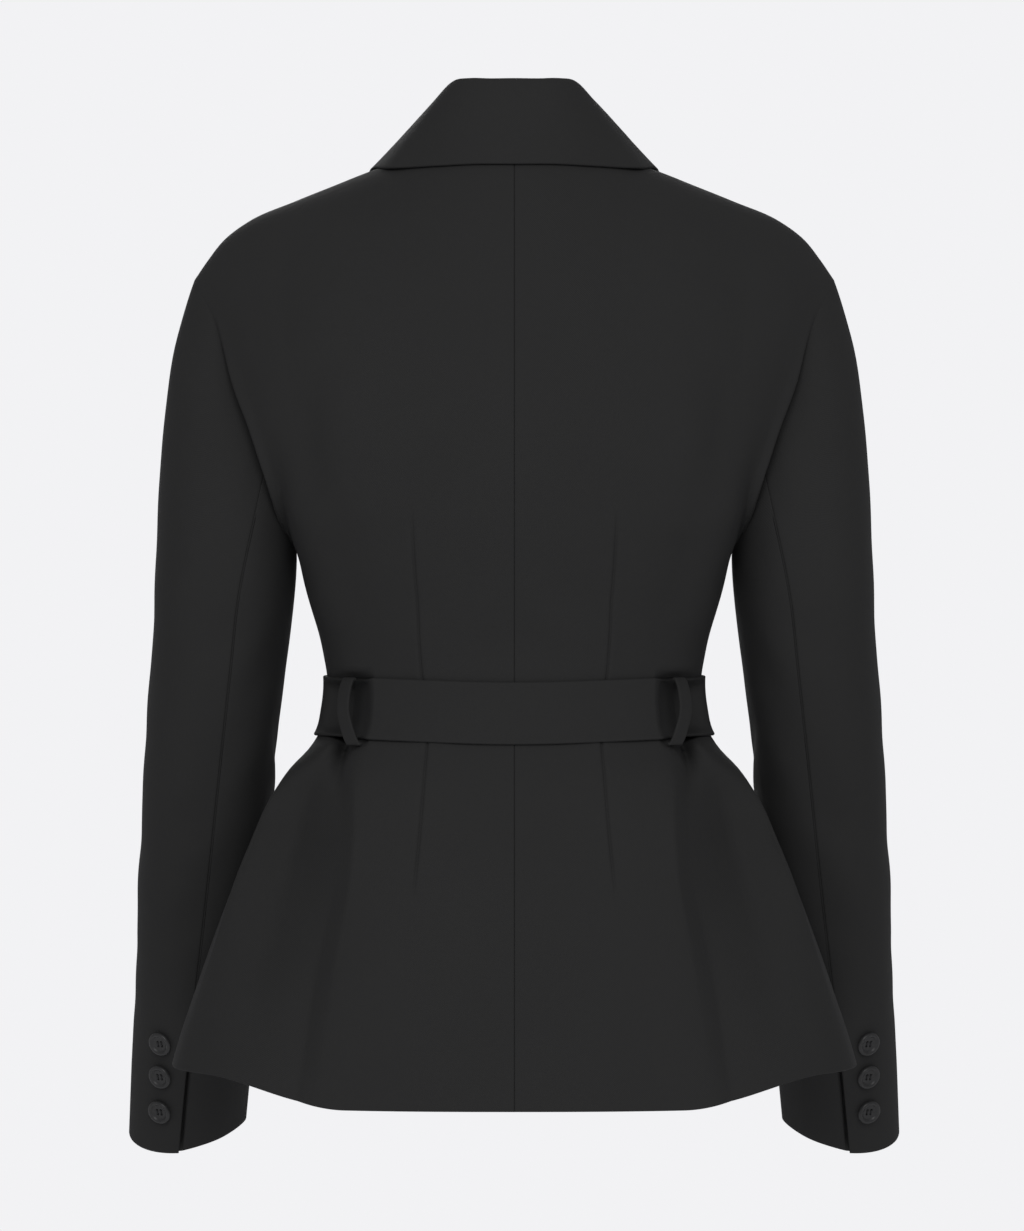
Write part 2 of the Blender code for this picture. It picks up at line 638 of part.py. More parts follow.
def build_collar(wool):
    """Collar in one strip from the right front edge round the neck to the left one."""
    lapel = np.linspace(COLLAR_NECK, 1, LAPEL_COLUMNS + 1)[1:]
    shares = np.concatenate([COLLAR_NECK * neck_columns(), lapel])
    sections = np.concatenate([
        FALL_FOLD * np.array(STAND_SECTIONS),
        FALL_FOLD + (1 - FALL_FOLD) * np.array(FALL_SECTIONS),
    ])

    def height_place(level):
        break_share = (BREAK - HEM) / (UNDERARM - HEM)
        if level > UNDERARM:
            return EDGE_UNDERARM * level / UNDERARM
        share = (level - HEM) / (UNDERARM - HEM)
        return mix(EDGE_UNDERARM, 1.0, (1 - share) / (1 - break_share))

    def half(front_of, seam_end, edge_end):
        def surface(share, section):
            return collar(front_of, share, section, seam_end, edge_end)

        share, section = np.meshgrid(shares, sections)
        return surface(share, section), normals(surface, share, section)

    left, left_facing = half(front, height_place(LEFT_COLLAR_SEAM_END), height_place(LEFT_COLLAR_EDGE_END))
    right, right_facing = half(lapped_front, 1.0, 1.0)
    outer = np.concatenate([right[:, :0:-1] * (-1, 1, 1), left], axis=1)
    facing = np.concatenate([right_facing[:, :0:-1] * (-1, 1, 1), left_facing], axis=1)
    facing[:, right.shape[1] - 1, 0] = 0
    facing = unit(facing)
    wall("collar", outer, outer - CLOTH * facing, wool)


def build_belt(wool):
    """Belt and the two loops that hold it at the back."""
    turns = np.linspace(BELT_END, BELT_START, BELT_COLUMNS + 1)
    turn, height = grid(turns, np.array(BELT_HEIGHTS) * MM)
    inner = belt(turn, height)
    facing = normals(belt, turn, height)
    wall("belt", inner + BELT_CLOTH * facing, inner, wool)

    def plain(angle, level):
        return body(angle, level, folds=False)

    levels = LOOP[:, 0] * MM
    centre = np.radians(LOOP[:, 2])
    middle = plain(centre, levels)
    facing = normals(plain, centre, levels)
    facing[:, 2] = 0
    facing = unit(facing)
    middle = middle + LOOP[:, 1:2] * MM * facing
    slope = unit(np.gradient(middle, axis=0))
    sideways = unit(np.cross(facing, slope))
    through = np.cross(slope, sideways)
    half_width = np.array((-0.5, 0.5)) * LOOP_WIDTH
    inner = middle[:, None] + sideways[:, None] * half_width[None, :, None]
    outer = inner + LOOP_CLOTH * through[:, None]
    for side, mirror in (("left", False), ("right", True)):
        wall(f"belt_loop_{side}", outer, inner, wool, mirror)


def build_buttons(horn):
    """Cuff buttons, each turned about the direction that its sleeve faces there."""
    around = np.linspace(0, 2 * math.pi, BUTTON_SIDES, endpoint=False)
    radius, height = BUTTON_PROFILE[1:-1].T * BUTTON_RADIUS
    bands = len(radius)
    number = 1 + np.arange(bands * BUTTON_SIDES).reshape(bands, BUTTON_SIDES)
    ahead = np.roll(number, -1, axis=1)
    tip = bands * BUTTON_SIDES + 1
    sides = np.stack([number[:-1], ahead[:-1], ahead[1:], number[1:]], axis=-1).reshape(-1, 4)
    faces = [(0, b, a) for a, b in zip(number[0], ahead[0])]
    faces += [tuple(face) for face in sides]
    faces += [(a, b, tip) for a, b in zip(number[-1], ahead[-1])]
    for count, place in enumerate(BUTTON_PLACES, start=1):
        angle = np.array(float(BUTTON_ANGLE))
        down = np.array(1 + place)
        axis = normals(sleeve, angle, down)
        seat = sleeve(angle, down) + LAY * axis
        side = unit(np.cross(axis, np.array((0.0, 0.0, 1.0))))
        spoke = np.outer(np.cos(around), side) + np.outer(np.sin(around), np.cross(axis, side))
        rings = seat + height[:, None, None] * axis + radius[:, None, None] * spoke
        top = seat + BUTTON_PROFILE[-1, 1] * BUTTON_RADIUS * axis
        points = np.vstack([seat, rings.reshape(-1, 3), top])
        link(f"button_left_{count}", points, faces, horn)
        link(f"button_right_{count}", points * (-1, 1, 1), [face[::-1] for face in faces], horn)


def main():
    for thing in list(bpy.data.objects):
        bpy.data.objects.remove(thing, do_unlink=True)
    wool = paint("wool", WOOL, WOOL_ROUGHNESS)
    horn = paint("horn", HORN, HORN_ROUGHNESS)
    build_body(wool)
    build_sleeves(wool)
    build_collar(wool)
    build_belt(wool)
    build_buttons(horn)


main()
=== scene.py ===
"""Belted jacket in black wool cloth, filled out as if worn, with its stage.

Metres, +Z up. The front faces -Y and the wearer's left is +X. Every panel is drawn on its left side;
the right side is its mirror image, apart from the right front, which laps over the left one.
"""

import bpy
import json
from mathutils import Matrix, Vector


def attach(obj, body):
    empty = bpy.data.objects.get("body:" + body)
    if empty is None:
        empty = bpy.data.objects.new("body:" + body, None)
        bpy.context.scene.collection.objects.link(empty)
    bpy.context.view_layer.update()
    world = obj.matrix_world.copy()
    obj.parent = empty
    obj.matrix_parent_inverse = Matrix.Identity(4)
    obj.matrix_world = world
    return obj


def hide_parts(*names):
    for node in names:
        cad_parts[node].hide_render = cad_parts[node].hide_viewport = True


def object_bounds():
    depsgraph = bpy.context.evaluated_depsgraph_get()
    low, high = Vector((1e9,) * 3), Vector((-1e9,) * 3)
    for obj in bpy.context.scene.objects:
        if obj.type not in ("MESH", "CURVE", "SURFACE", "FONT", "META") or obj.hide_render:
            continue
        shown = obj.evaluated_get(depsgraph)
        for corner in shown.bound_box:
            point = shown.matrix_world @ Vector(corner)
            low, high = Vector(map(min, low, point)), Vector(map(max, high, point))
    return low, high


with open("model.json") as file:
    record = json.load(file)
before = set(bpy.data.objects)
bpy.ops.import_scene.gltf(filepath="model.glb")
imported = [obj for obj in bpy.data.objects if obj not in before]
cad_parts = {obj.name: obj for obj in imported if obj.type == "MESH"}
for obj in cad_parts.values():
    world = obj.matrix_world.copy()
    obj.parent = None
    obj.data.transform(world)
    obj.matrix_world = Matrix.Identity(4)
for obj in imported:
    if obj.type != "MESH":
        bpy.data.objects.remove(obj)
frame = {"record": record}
CAD_BOX = [list(corner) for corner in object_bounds()]

import json
import math

import bpy
import numpy as np
from bpy.props import FloatProperty, FloatVectorProperty, PointerProperty
from mathutils import Vector

bl_info = {
    "name": "Belted jacket",
    "version": (1, 0, 0),
    "blender": (4, 5, 0),
    "location": "View3D > Sidebar > Jacket",
    "description": "Cloth panels, collar, belt, loops and cuff buttons of a belted wool jacket, and a stage",
    "category": "Object",
}

MM = 0.001
SLOTS = {slot["slot"]: slot["base_color"] for slot in frame["record"]["materials"]}
# Sides of the jacket, with whether a drawn panel is mirrored there
SIDES = (("left", False), ("right", True))

# Heights of the body. The hem rises at the hips, between two angles from the centre back, and less in front
HEM = -609.5 * MM
UNDERARM = -256 * MM
BELT_TOP = -341 * MM
BELT_BOTTOM = -381 * MM
BREAK = -335 * MM
HEM_RISE = 17.5 * MM
HEM_RISE_FROM = math.radians(43)
HEM_RISE_FULL = math.radians(71)
HEM_RISE_FRONT = math.radians(55)

# Side seam as an angle from the centre back, and the share of the shoulder line that is neckline
SIDE = math.radians(91)
NECK_SHARE = 0.34
# Front edge past the centre front, and the distance at which one piece lies on another
OVERLAP = 36 * MM
LAY = 0.5 * MM
# Right front lifted off the left one: angles where that starts and is full, distance, height shares where it
# fades
LAP_FROM = math.radians(136)
LAP_FULL = math.radians(158)
LAP_LIFT = 3 * MM
LAP_FADE = (1.15, 1.40)

# Fold that opens below the belt beside the flat of the back, in millimetres and degrees: height, angle and
# depth of the narrow pleat, angle of the edge of the flat back, depth of the wide fold outside that edge
FOLD = np.array([
    (-612, 52.2, 4.0, 49.0, 2.0), (-583, 52.4, 5.4, 49.0, 6.0), (-555, 52.5, 6.4, 49.0, 12.0),
    (-527, 52.5, 6.4, 49.0, 20.0), (-499, 52.2, 4.8, 48.9, 30.0), (-473, 51.6, 2.4, 48.7, 39.0),
    (-451, 52.0, 1.5, 49.1, 42.0), (-431, 53.0, 3.0, 49.9, 38.0), (-416, 54.4, 8.0, 51.2, 32.0),
    (-404, 56.2, 18.0, 53.4, 22.0), (-396, 57.6, 27.0, 55.2, 14.0), (-390, 59.0, 31.0, 56.8, 8.0),
    (-384, 60.4, 31.0, 58.6, 3.0), (-377, 61.5, 28.0, 60.5, 0.5), (-369, 62.5, 14.0, 61.5, 0.0),
    (-361, 63.0, 2.0, 61.5, 0.0), (-355, 63.0, 0.0, 61.5, 0.0), (-256, 63.0, 0.0, 61.5, 0.0),
])
# Widths of the pleat's two sides and how pointed it is, foot of the wide fold, and its way up to a crest
PLEAT_INNER = math.radians(2.3)
PLEAT_OUTER = math.radians(3.7)
PLEAT_POWER = 1.3
FOLD_FOOT = math.radians(66)
FOLD_CREST = math.radians(80)
FOLD_CREST_FROM = math.radians(62.5)
FOLD_CREST_POWER = 1.35
# Softer fold in front: angle, spread, depth as a share of the one at the back
FRONT_FOLD_TURN = math.radians(121)
FRONT_FOLD_SPREAD = math.radians(12)
FRONT_FOLD_SHARE = 0.45

# Body sections in millimetres: height, half width, back depth, front depth, depth of the widest line,
# squareness of the back, squareness of the front
BODY = np.array([
    (-612, 229.0, 150.0, -150.0, 28, 2.50, 1.85), (-560, 213.0, 143.0, -143.0, 28, 2.50, 1.85),
    (-518, 199.0, 135.5, -136.0, 27, 2.60, 1.85), (-485, 187.0, 128.0, -130.0, 25, 2.70, 1.85),
    (-451, 173.5, 119.5, -123.0, 22, 2.80, 1.85), (-416, 157.5, 110.5, -115.0, 18, 2.90, 2.10),
    (-400, 146.5, 106.0, -110.5, 15, 2.80, 2.10), (-388, 135.0, 102.0, -106.0, 12, 2.60, 2.10),
    (-378, 128.5, 99.0, -103.0, 10, 2.45, 2.10), (-361, 124.3, 96.5, -100.5, 8, 2.35, 2.10),
    (-341, 123.0, 95.5, -99.5, 6, 2.35, 2.10), (-325, 125.5, 97.0, -102.0, 5, 2.40, 2.10),
    (-300, 132.0, 101.5, -110.0, 3, 2.50, 2.15), (-278, 138.0, 105.5, -116.5, 1, 2.62, 2.20),
    (-256, 143.9, 109.5, -120.5, 0, 2.75, 2.25),
])

# Line over the shoulders in millimetres: x, y, z. The shoulder seam runs from the neck to the tip.
# Inside the neck the line closes over the part of the back that the neckline cuts away
RIDGE = np.array([(0, 4, 33), (25, 4, 29), (50, 3, 15.5)])
SHOULDER = np.array([
    (73, 2, 1), (109, 0, -14), (143.5, -2, -27.5), (174.5, -4, -40.5),
    (191.5, -5, -53), (202, -5, -66), (211, -5, -79),
])
# Part of the climb to that line that the neckline cuts away at the centre back, and the way over the shoulder
NECK_CUT = 0.23
AT_SHOULDER = np.array((0.0, 1.0, 0.06))

# Armhole in millimetres: angle round the arm from its outer side towards the back, x, y, z
ARMHOLE = np.array([
    (0, 211.0, -5, -79), (30, 207.5, 14, -86), (55, 195.0, 34, -110), (75, 181.5, 48, -151),
    (92, 169.0, 56, -180), (105, 161.0, 57, -203), (125, 152.5, 49, -229), (150, 146.0, 28, -249),
    (180, 143.9, 0, -256), (210, 146.0, -29, -247), (235, 152.5, -52, -222), (255, 161.0, -61, -190),
    (275, 172.0, -61, -155), (300, 189.5, -47, -116), (330, 206.5, -24, -88),
])

# Sleeve rings in millimetres and degrees: height, centre x, centre y, half width, half depth, drop of the
# back, drop of the outer side, angle of the hind-arm seam, squareness, the same between that seam and the
# inner side
SLEEVE = np.array([
    (-300, 192.5, -8, 45.5, 64.0, 4, 0, 105, 2.40, 2.40),
    (-356, 198.5, -18, 44.2, 60.0, 7, 0, 104, 2.35, 2.40),
    (-409, 204.0, -33, 43.4, 56.0, 10, 0, 102, 2.30, 2.40),
    (-470, 209.5, -54, 42.8, 52.5, 13, 0, 98.5, 2.20, 2.30),
    (-530, 214.5, -77, 42.2, 49.5, 16, 1, 93.5, 2.10, 2.05),
    (-590, 220.0, -101, 41.7, 46.5, 18, 3, 89, 2.00, 1.70),
    (-653, 226.0, -127, 40.6, 44.0, 19, 5, 86, 2.00, 1.40),
])
# Seams of the sleeve, as angles round the arm in degrees
HIND_SEAM = 105
FORE_SEAM = 240
# Cap of the sleeve: how far it bulges out, and how fast that fades to the inner side of the arm
CAP_BULGE = 0.25
CAP_TAPER = 1.5
# Share of a panel's width, from the centre of the body, that isn't drawn sideways onto the armhole
BACK_CALM = 0.25
# Rounding of the back at the underarm row, and the share of its width by the side seam where it fades out
UNDERARM_ROUND = 0.09
UNDERARM_CORNER = 0.2
# Share of the front's width, from its edge, that turns from the neckline's way to the body's, and the part of
# the body's way that is left at the edge itself
FRONT_CALM = 0.45
EDGE_ROUND = 0.35
# Cuff vent: places down the sleeve where it starts and is open, step between the panels, degrees over which
# the step fades, degrees by which the under sleeve reaches below the top sleeve and over which that fades
VENT_FROM = 0.76
VENT_RAMP = 0.03
VENT_STEP = 2.8 * MM
VENT_SPREAD = 55
VENT_UNDERLAP = 14
VENT_UNDERLAP_SPREAD = 40
# Groove in the under sleeve along the vent: depth, degrees from the seam, spread in degrees, fade at the cuff
VENT_GROOVE = 5 * MM
VENT_GROOVE_AT = 0.8
VENT_GROOVE_SPREAD = 2.4
VENT_GROOVE_END = 0.03
# Seams of the sleeve are rounded more than others
SLEEVE_ROUND = 1.3

# Collar: share of its half length at the shoulder, and the share of the front edge at the underarm
COLLAR_NECK = 0.24
EDGE_UNDERARM = 0.75
# Fold line of the collar in millimetres from the seam: share of the half length, x, y, z
COLLAR_FOLD = np.array([
    (0.00, 0.0, 0.0, 34.7), (0.08, 1.0, 0.0, 33.9), (0.125, -3.2, 1.4, 34.3), (0.16, -8.0, 3.0, 34.3),
    (0.24, -18.5, 6.0, 27.0),
    (0.31, -14.0, -2.0, 24.0), (0.38, -7.0, -4.5, 17.5), (0.45, -5.0, -3.5, 9.0), (0.54, -4.0, -2.4, 4.0),
    (0.65, -3.6, -1.5, 1.5), (1.00, -3.6, -1.3, 0.0),
])
# Outer edge of the collar on the back: share of the way to the shoulder, angle share, drop of height
COLLAR_BACK = np.array([
    (0.00, 0.000, 0.114), (0.20, 0.113, 0.126), (0.40, 0.219, 0.147), (0.55, 0.289, 0.164),
    (0.65, 0.330, 0.173), (0.75, 0.366, 0.154), (0.84, 0.392, 0.130), (0.92, 0.416, 0.095),
    (1.00, 0.432, 0.000),
])
# Outer edge of the collar on the front: height share, place across the front
COLLAR_FRONT = np.array([
    (2.00, 0.86), (1.85, 0.72), (1.70, 0.60), (1.55, 0.53), (1.40, 0.52), (1.25, 0.57),
    (1.10, 0.68), (0.95, 0.82), (0.80, 0.925), (0.70, 0.95),
])
# Fold line as a share of the collar's section, share of the length over which the fall turns into a
# lapel, and how far a lapel rolls out of its panel
FALL_FOLD = 0.30
LAPEL_TURN = 0.22
LAPEL_ROLL = 0.75
# Roundness of stand and fall at the fold line, slope of the fall at its edge, its distance from the panel
STAND_ROUND = 12 * MM
FALL_ROUND = 22 * MM
FALL_END = 0.9
FALL_LAY = 0.6 * MM
# Roll of a lapel along its seam: height, reach, and width of the turn
ROLL_HEIGHT = 1.8 * MM
ROLL_REACH = 18 * MM
ROLL_TURN = 3 * MM
# Lean of the collar's end line, and heights where the left half ends, below the right front
COLLAR_END_LEAN = 0.6
LEFT_COLLAR_SEAM_END = -204 * MM
LEFT_COLLAR_EDGE_END = -272 * MM

# Belt by angle from the centre back: its two ends, where it starts to lap and is doubled, where it climbs
# onto the right front, and how it dips at the back and rises to the sides
BELT_START = math.radians(210)
BELT_END = math.radians(-212)
BELT_LAP = (math.radians(-125), math.radians(-148))
BELT_CLIMB = (math.radians(144), math.radians(157))
BELT_DIP = -2.0 * MM
BELT_RISE = 3.2 * MM
BELT_RISE_TURN = math.radians(78)
# Loop: radius of its edges as a share of its cloth, then its path in millimetres and degrees as height,
# distance of its inner side from the body, and angle
LOOP_ROUND = 0.4
LOOP = np.array([
    (-340.9, 0.3, 62.6), (-340.4, 1.6, 62.6), (-341.2, 3.4, 62.4), (-344.5, 6.2, 62.1), (-351.0, 9.2, 61.6),
    (-361.5, 11.0, 60.8), (-372.0, 9.0, 59.4), (-378.5, 6.0, 58.2), (-382.3, 3.2, 57.2), (-383.6, 1.5, 56.9),
    (-383.2, 0.3, 56.8),
])
# Hollow of belt and body under a loop: angles of its lip, foot and end, depth, power of its fall, power
# of its flat top, height in shares of the belt's
HOLLOW_LIP = math.radians(52.8)
HOLLOW_FOOT = math.radians(61.5)
HOLLOW_END = math.radians(86.0)
HOLLOW_DEPTH = 38.0 * MM
HOLLOW_FALL = 2.2
HOLLOW_FLAT = 6
HOLLOW_HEIGHT = 1.12

# Cuff buttons from the top: place down the sleeve, angle round the arm
BUTTONS = ((0.779, 78.0), (0.844, 81.0), (0.914, 83.5))
# Button turned about its axis, in shares of its radius: distance from the axis, height
BUTTON_PROFILE = np.array([
    (0.00, 0.00), (0.60, 0.00), (0.80, 0.02), (0.93, 0.09), (1.00, 0.20), (0.99, 0.30), (0.94, 0.38),
    (0.86, 0.42), (0.78, 0.41), (0.71, 0.37), (0.64, 0.30), (0.58, 0.26), (0.48, 0.245), (0.00, 0.24),
])
# Holes in shares of that radius: distance from the axis along both ways, radius, depth, start and width of
# their wall in shares of their own radius
HOLE_PLACE = 0.25 * math.sqrt(0.5)
HOLE_RADIUS = 0.105
HOLE_DEPTH = 0.16
HOLE_WALL = (0.55, 0.6)
# Strands of thread: row of holes, then lean and place across in shares of the thread's radius. A strand
# lifts off the dish by a share of that radius and is flat over its middle
STRANDS = ((-1, 0.10, -0.55), (-1, -0.08, 0.55), (1, 0.07, -0.55), (1, -0.11, 0.55))
STRAND_LIFT = 1.2
STRAND_FLAT = 1.6

# Line of the back dart: height share, angle from the centre back, how open its groove is
DART = np.array([
    (0.000, 0.568, 0.0), (0.360, 0.568, 0.0), (0.400, 0.568, 0.7), (0.510, 0.568, 1.0), (0.634, 0.575, 1.0),
    (0.770, 0.622, 1.0), (0.919, 0.570, 1.0), (1.040, 0.541, 0.7), (1.090, 0.534, 0.0), (1.300, 0.530, 0.0),
    (2.000, 0.530, 0.0),
])
# Column of the grid that is drawn onto that line, over an angle of columns, and the radius of the body there
DART_COLUMN = 0.57
DART_DRAW = 0.12
DART_RADIUS = 105 * MM
# Swells beside the groove: height as a share of its depth, place and spread in half widths of the groove
DART_SWELL = 0.3
DART_SWELL_PLACE = 4
DART_SWELL_SPREAD = 2.5

# Slow unevenness of the cloth in millimetres: length across, length along, length through, height, start
WAVES = np.array([
    (61, 143, 97, 0.30, 0.4), (83, 71, 120, 0.22, 2.1), (37, 88, 66, 0.14, 4.4), (110, 47, 59, 0.12, 5.3),
])

# The unevenness dies away at seams: radians from the centre back and from the side seam, shares of the front
# from its edge and its side, height share below the shoulder and width of that fade, share of the sleeve's
# cap, place above the cuff and width of that fade
BACK_STILL = (0.2, 0.1)
FRONT_STILL = (0.15, 0.06)
TOP_STILL = (1.7, 0.15)
HEAD_STILL = 0.2
CUFF_STILL = (1.72, 0.1)

# Creases on the back: from angle, height share, to angle, height share, half width and height in millimetres
BACK_CREASES = np.array([
    (1.00, 1.46, 1.02, 1.10, 13.0, -2.4), (1.22, 1.42, 1.20, 1.06, 10.0, 1.3),
    (0.80, 1.40, 0.84, 1.08, 12.0, 0.8), (1.30, 0.80, 0.95, 0.86, 7.0, -0.9),
    (1.42, 0.87, 1.10, 0.93, 8.0, 0.8), (0.36, 0.62, 0.34, 0.10, 16.0, 0.7),
    (1.26, 0.56, 1.20, 0.06, 15.0, 1.4), (1.50, 0.52, 1.45, 0.08, 12.0, -1.2),
])
# Creases on the front, by place across it and height share
FRONT_CREASES = np.array([
    (0.12, 1.40, 0.10, 1.02, 11.0, -2.0), (0.26, 0.80, 0.04, 0.90, 7.0, -1.0),
    (0.40, 0.83, 0.20, 0.95, 9.0, 0.9), (0.30, 0.60, 0.34, 0.08, 14.0, 1.3),
    (0.62, 0.58, 0.66, 0.10, 15.0, -1.1), (0.80, 0.60, 0.78, 0.30, 12.0, 0.8),
])
# Creases on the sleeve, by angle round the arm and place down it
SLEEVE_CREASES = np.array([
    (150, 1.18, 205, 1.30, 7.0, -1.6), (160, 1.27, 225, 1.40, 6.0, 1.0), (235, 1.34, 190, 1.45, 7.0, -1.2),
    (60, 1.30, 95, 1.42, 12.0, -0.7), (-40, 1.22, -75, 1.38, 12.0, -0.9), (30, 0.75, 55, 1.05, 16.0, 0.6),
    (120, 1.55, 150, 1.75, 9.0, -0.8), (20, 1.60, 40, 1.86, 15.0, -0.7),
])

# Seam of the sleeve sunk behind the edge of the back: angle round the arm, depth in millimetres
DITCH = np.array([
    (0, 0.0), (45, 0.0), (54, 0.4), (64, 2.5), (74, 5.5), (85, 7.5), (97, 8.0), (110, 8.0), (130, 6.5),
    (150, 3.5), (170, 1.0), (180, 0.0), (360, 0.0),
])
# How far that sinking reaches, in radians on the back and as a length on the sleeve
DITCH_ON_BACK = 0.014
DITCH_ON_SLEEVE = 62 * MM
# Edge of the back rolled up beside that seam: radians from it, spread, then angle round the arm and height
# in millimetres
ROLL_PLACE = 0.03
ROLL_SPREAD = 0.17
ROLL = np.array([
    (0, 0.0), (45, 0.0), (54, 0.5), (64, 2.5), (74, 5.0), (85, 6.5), (97, 7.5), (110, 8.5), (125, 8.5),
    (140, 6.5), (155, 3.5), (170, 1.0), (180, 0.0),
])
# Lip of that edge over the seam: size, spread in radians, and the way it leans, square to the armhole
LIP = 4.8 * MM
LIP_SPREAD = 0.05
LIP_WAY = np.array((0.94, 0.0, -0.34))
# Part of the back that is drawn taut beside that edge: angles in radians, and the height share it starts at
TAUT = (1.09, SIDE - 0.03)
TAUT_UP = 0.75

# Back laid flatter up to its side below the armhole: angles where that starts, is full, ends and is over,
# height share and spread, distance
FLAT_TURNS = np.radians((50, 72, 75, 89))
FLAT_UP = 1.0
FLAT_SPREAD = 0.2
FLAT = 12 * MM

# Seam over the sleeve head: share of the seam radius at its top, share of the way down where that ends
HEAD_ROUND = 0.12
HEAD_SHARE = 0.8

# Two panels share one direction through the cloth at a seam, over some radians of the back, a share of
# the front, a share of the sleeve's cap and a height share below the shoulder. On the armhole this starts
# at the underarm. Where the panels oppose each other they share none
SHARED_BACK = 0.12
SHARED_FRONT = 0.08
SHARED_SLEEVE = 0.15
SHARED_TOP = 0.06
SHARED_UP = (0.97, 0.06)
OPPOSED = -0.3
AGREED = 0.4

# Cells of the grids, stretch by stretch: rows of the body from the hem over the underarm to the shoulder,
# and columns of a front
BODY_CELLS = (88, 72)
FRONT_CELLS = 72
# Columns of the back up to its dart, beside the dart as angles from it, and from there to the side seam
BACK_MIDDLE_CELLS = (21,)
BY_DART = np.array((2, 4, 6.5, 9.5, 13.5, 19, 26, 36, 50)) * 1e-3
BACK_STOPS = (0.76, 1.08, SIDE - 0.24, SIDE - 0.042, SIDE)
BACK_CELLS = (6, 36, 11, 19, 6)
# Rows of the sleeve from the armhole over the upper arm and the vent to the cuff, and columns of its
# panels, which are finer some degrees beside the vent
SLEEVE_CELLS = (30, 67, 5, 21)
TOP_SLEEVE_CELLS = (84,)
UNDER_SLEEVE_FINE = 24
UNDER_SLEEVE_CELLS = (30, 42)
# Collar: knots of a half along its length, columns of the whole, rows of the stand, and rows of the fall
# as shares of it, which are closer at the fold line
COLLAR_KNOTS = (5, 16)
COLLAR_CELLS = (91, 66, 91)
STAND_ROWS = 15
FALL_TURN = (0.015, 0.03, 0.055, 0.085, 0.12, 0.16, 0.21)
FALL_FLAT = 0.27
FALL_ROWS = 22
# Belt, with finer columns between two angles beside each loop, and loops
BELT_FINE = (math.radians(46), math.radians(74))
BELT_CELLS = (99, 55, 59, 55, 99)
BELT_ROWS = 19
LOOP_ROWS = 57
LOOP_COLUMNS = 6
# Buttons and thread
BUTTON_SIDES = 80
BUTTON_RINGS = 34
DISH_RINGS = 28
STRAND_POINTS = 15
STRAND_SIDES = 8
# Angles of a rounded edge, from the rim to the face of the cloth, pieces of a crease's line, a small step
# and the smallest length
ROUND = np.radians((0, 30, 60, 90))
CREASE_STEPS = 14
STEP = 1e-3
TINY = 1e-12

# Weave: slant of the ribs, yarns to a rib, shares of rib, yarn and uneven spinning in its relief, and the
# painted shade of its low and high places, which darkens the cloth where its relief is low
TWILL_SLANT = 0.6
RIB_YARNS = 2
RIB_SHARE = 0.32
YARN_SHARE = 0.13
SPUN_SHARE = 0.4
TWILL_PAINTED_SHADE = (0.85, 1.15)
# Share of the finer noise in the mottling, share of that noise in the cloth's relief, roughness of the cloth
QUICK_SHARE = 0.45
GRAIN_SHARE = 0.5
WOOL_ROUGHNESS = 0.85

# Stage: floor rings as shares of its radius, their sides, places and size of the lights, width of the sensor
FLOOR_RINGS = (0.02, 0.1, 0.3, 0.6, 1.0)
FLOOR_SIDES = 96
KEY_PLACE = (0.0, 4.4, 1.7)
FRONT_PLACE = (0.5, -4.4, 1.7)
LIGHT_SIZE = 2.6
SENSOR = 36.0


class JacketSizes(bpy.types.PropertyGroup):
    """Sizes of the cloth, its seams and its trimmings"""

    cloth: FloatProperty(name="Cloth", description="Thickness of the wool cloth", default=2.0 * MM,
                         min=0.5 * MM, unit="LENGTH", precision=4)
    belt_cloth: FloatProperty(name="Belt cloth", description="Thickness of the doubled cloth of the belt",
                              default=2.2 * MM, min=0.5 * MM, unit="LENGTH", precision=4)
    loop_cloth: FloatProperty(name="Loop cloth", description="Thickness of the belt loops",
                              default=1.8 * MM, min=0.5 * MM, unit="LENGTH", precision=4)
    loop_width: FloatProperty(name="Loop width", description="Width of the belt loops",
                              default=11 * MM, min=4 * MM, unit="LENGTH", precision=4)
    seam: FloatProperty(name="Seam", description="Gap between two panels at a seam",
                        default=0.3 * MM, min=0.0, unit="LENGTH", precision=5)
    seam_round: FloatProperty(name="Seam round", description="Radius of the cloth where it turns into a seam",
                              default=0.8 * MM, min=0.1 * MM, unit="LENGTH", precision=5)
    edge_round: FloatProperty(name="Edge round", description="Radius of a free edge",
                              default=0.95 * MM, min=0.1 * MM, unit="LENGTH", precision=5)
    dart_depth: FloatProperty(name="Dart depth", description="Depth of the groove along a dart",
                              default=1.0 * MM, min=0.0, unit="LENGTH", precision=5)
    dart_width: FloatProperty(name="Dart width", description="Half width of the groove along a dart",
                              default=0.8 * MM, min=0.1 * MM, unit="LENGTH", precision=5)
    fold_depth: FloatProperty(name="Fold depth", description="Strength of the folds below the belt",
                              default=1.0, min=0.0, max=1.5, subtype="FACTOR")
    unevenness: FloatProperty(name="Unevenness", description="Strength of the slow unevenness of the cloth",
                              default=1.0, min=0.0, max=3.0, subtype="FACTOR")
    button_radius: FloatProperty(name="Button radius", description="Radius of the cuff buttons",
                                 default=8.3 * MM, min=3 * MM, unit="LENGTH", precision=4)
    thread: FloatProperty(name="Thread", description="Radius of the sewing thread on the buttons",
                          default=0.3 * MM, min=0.1 * MM, unit="LENGTH", precision=5)


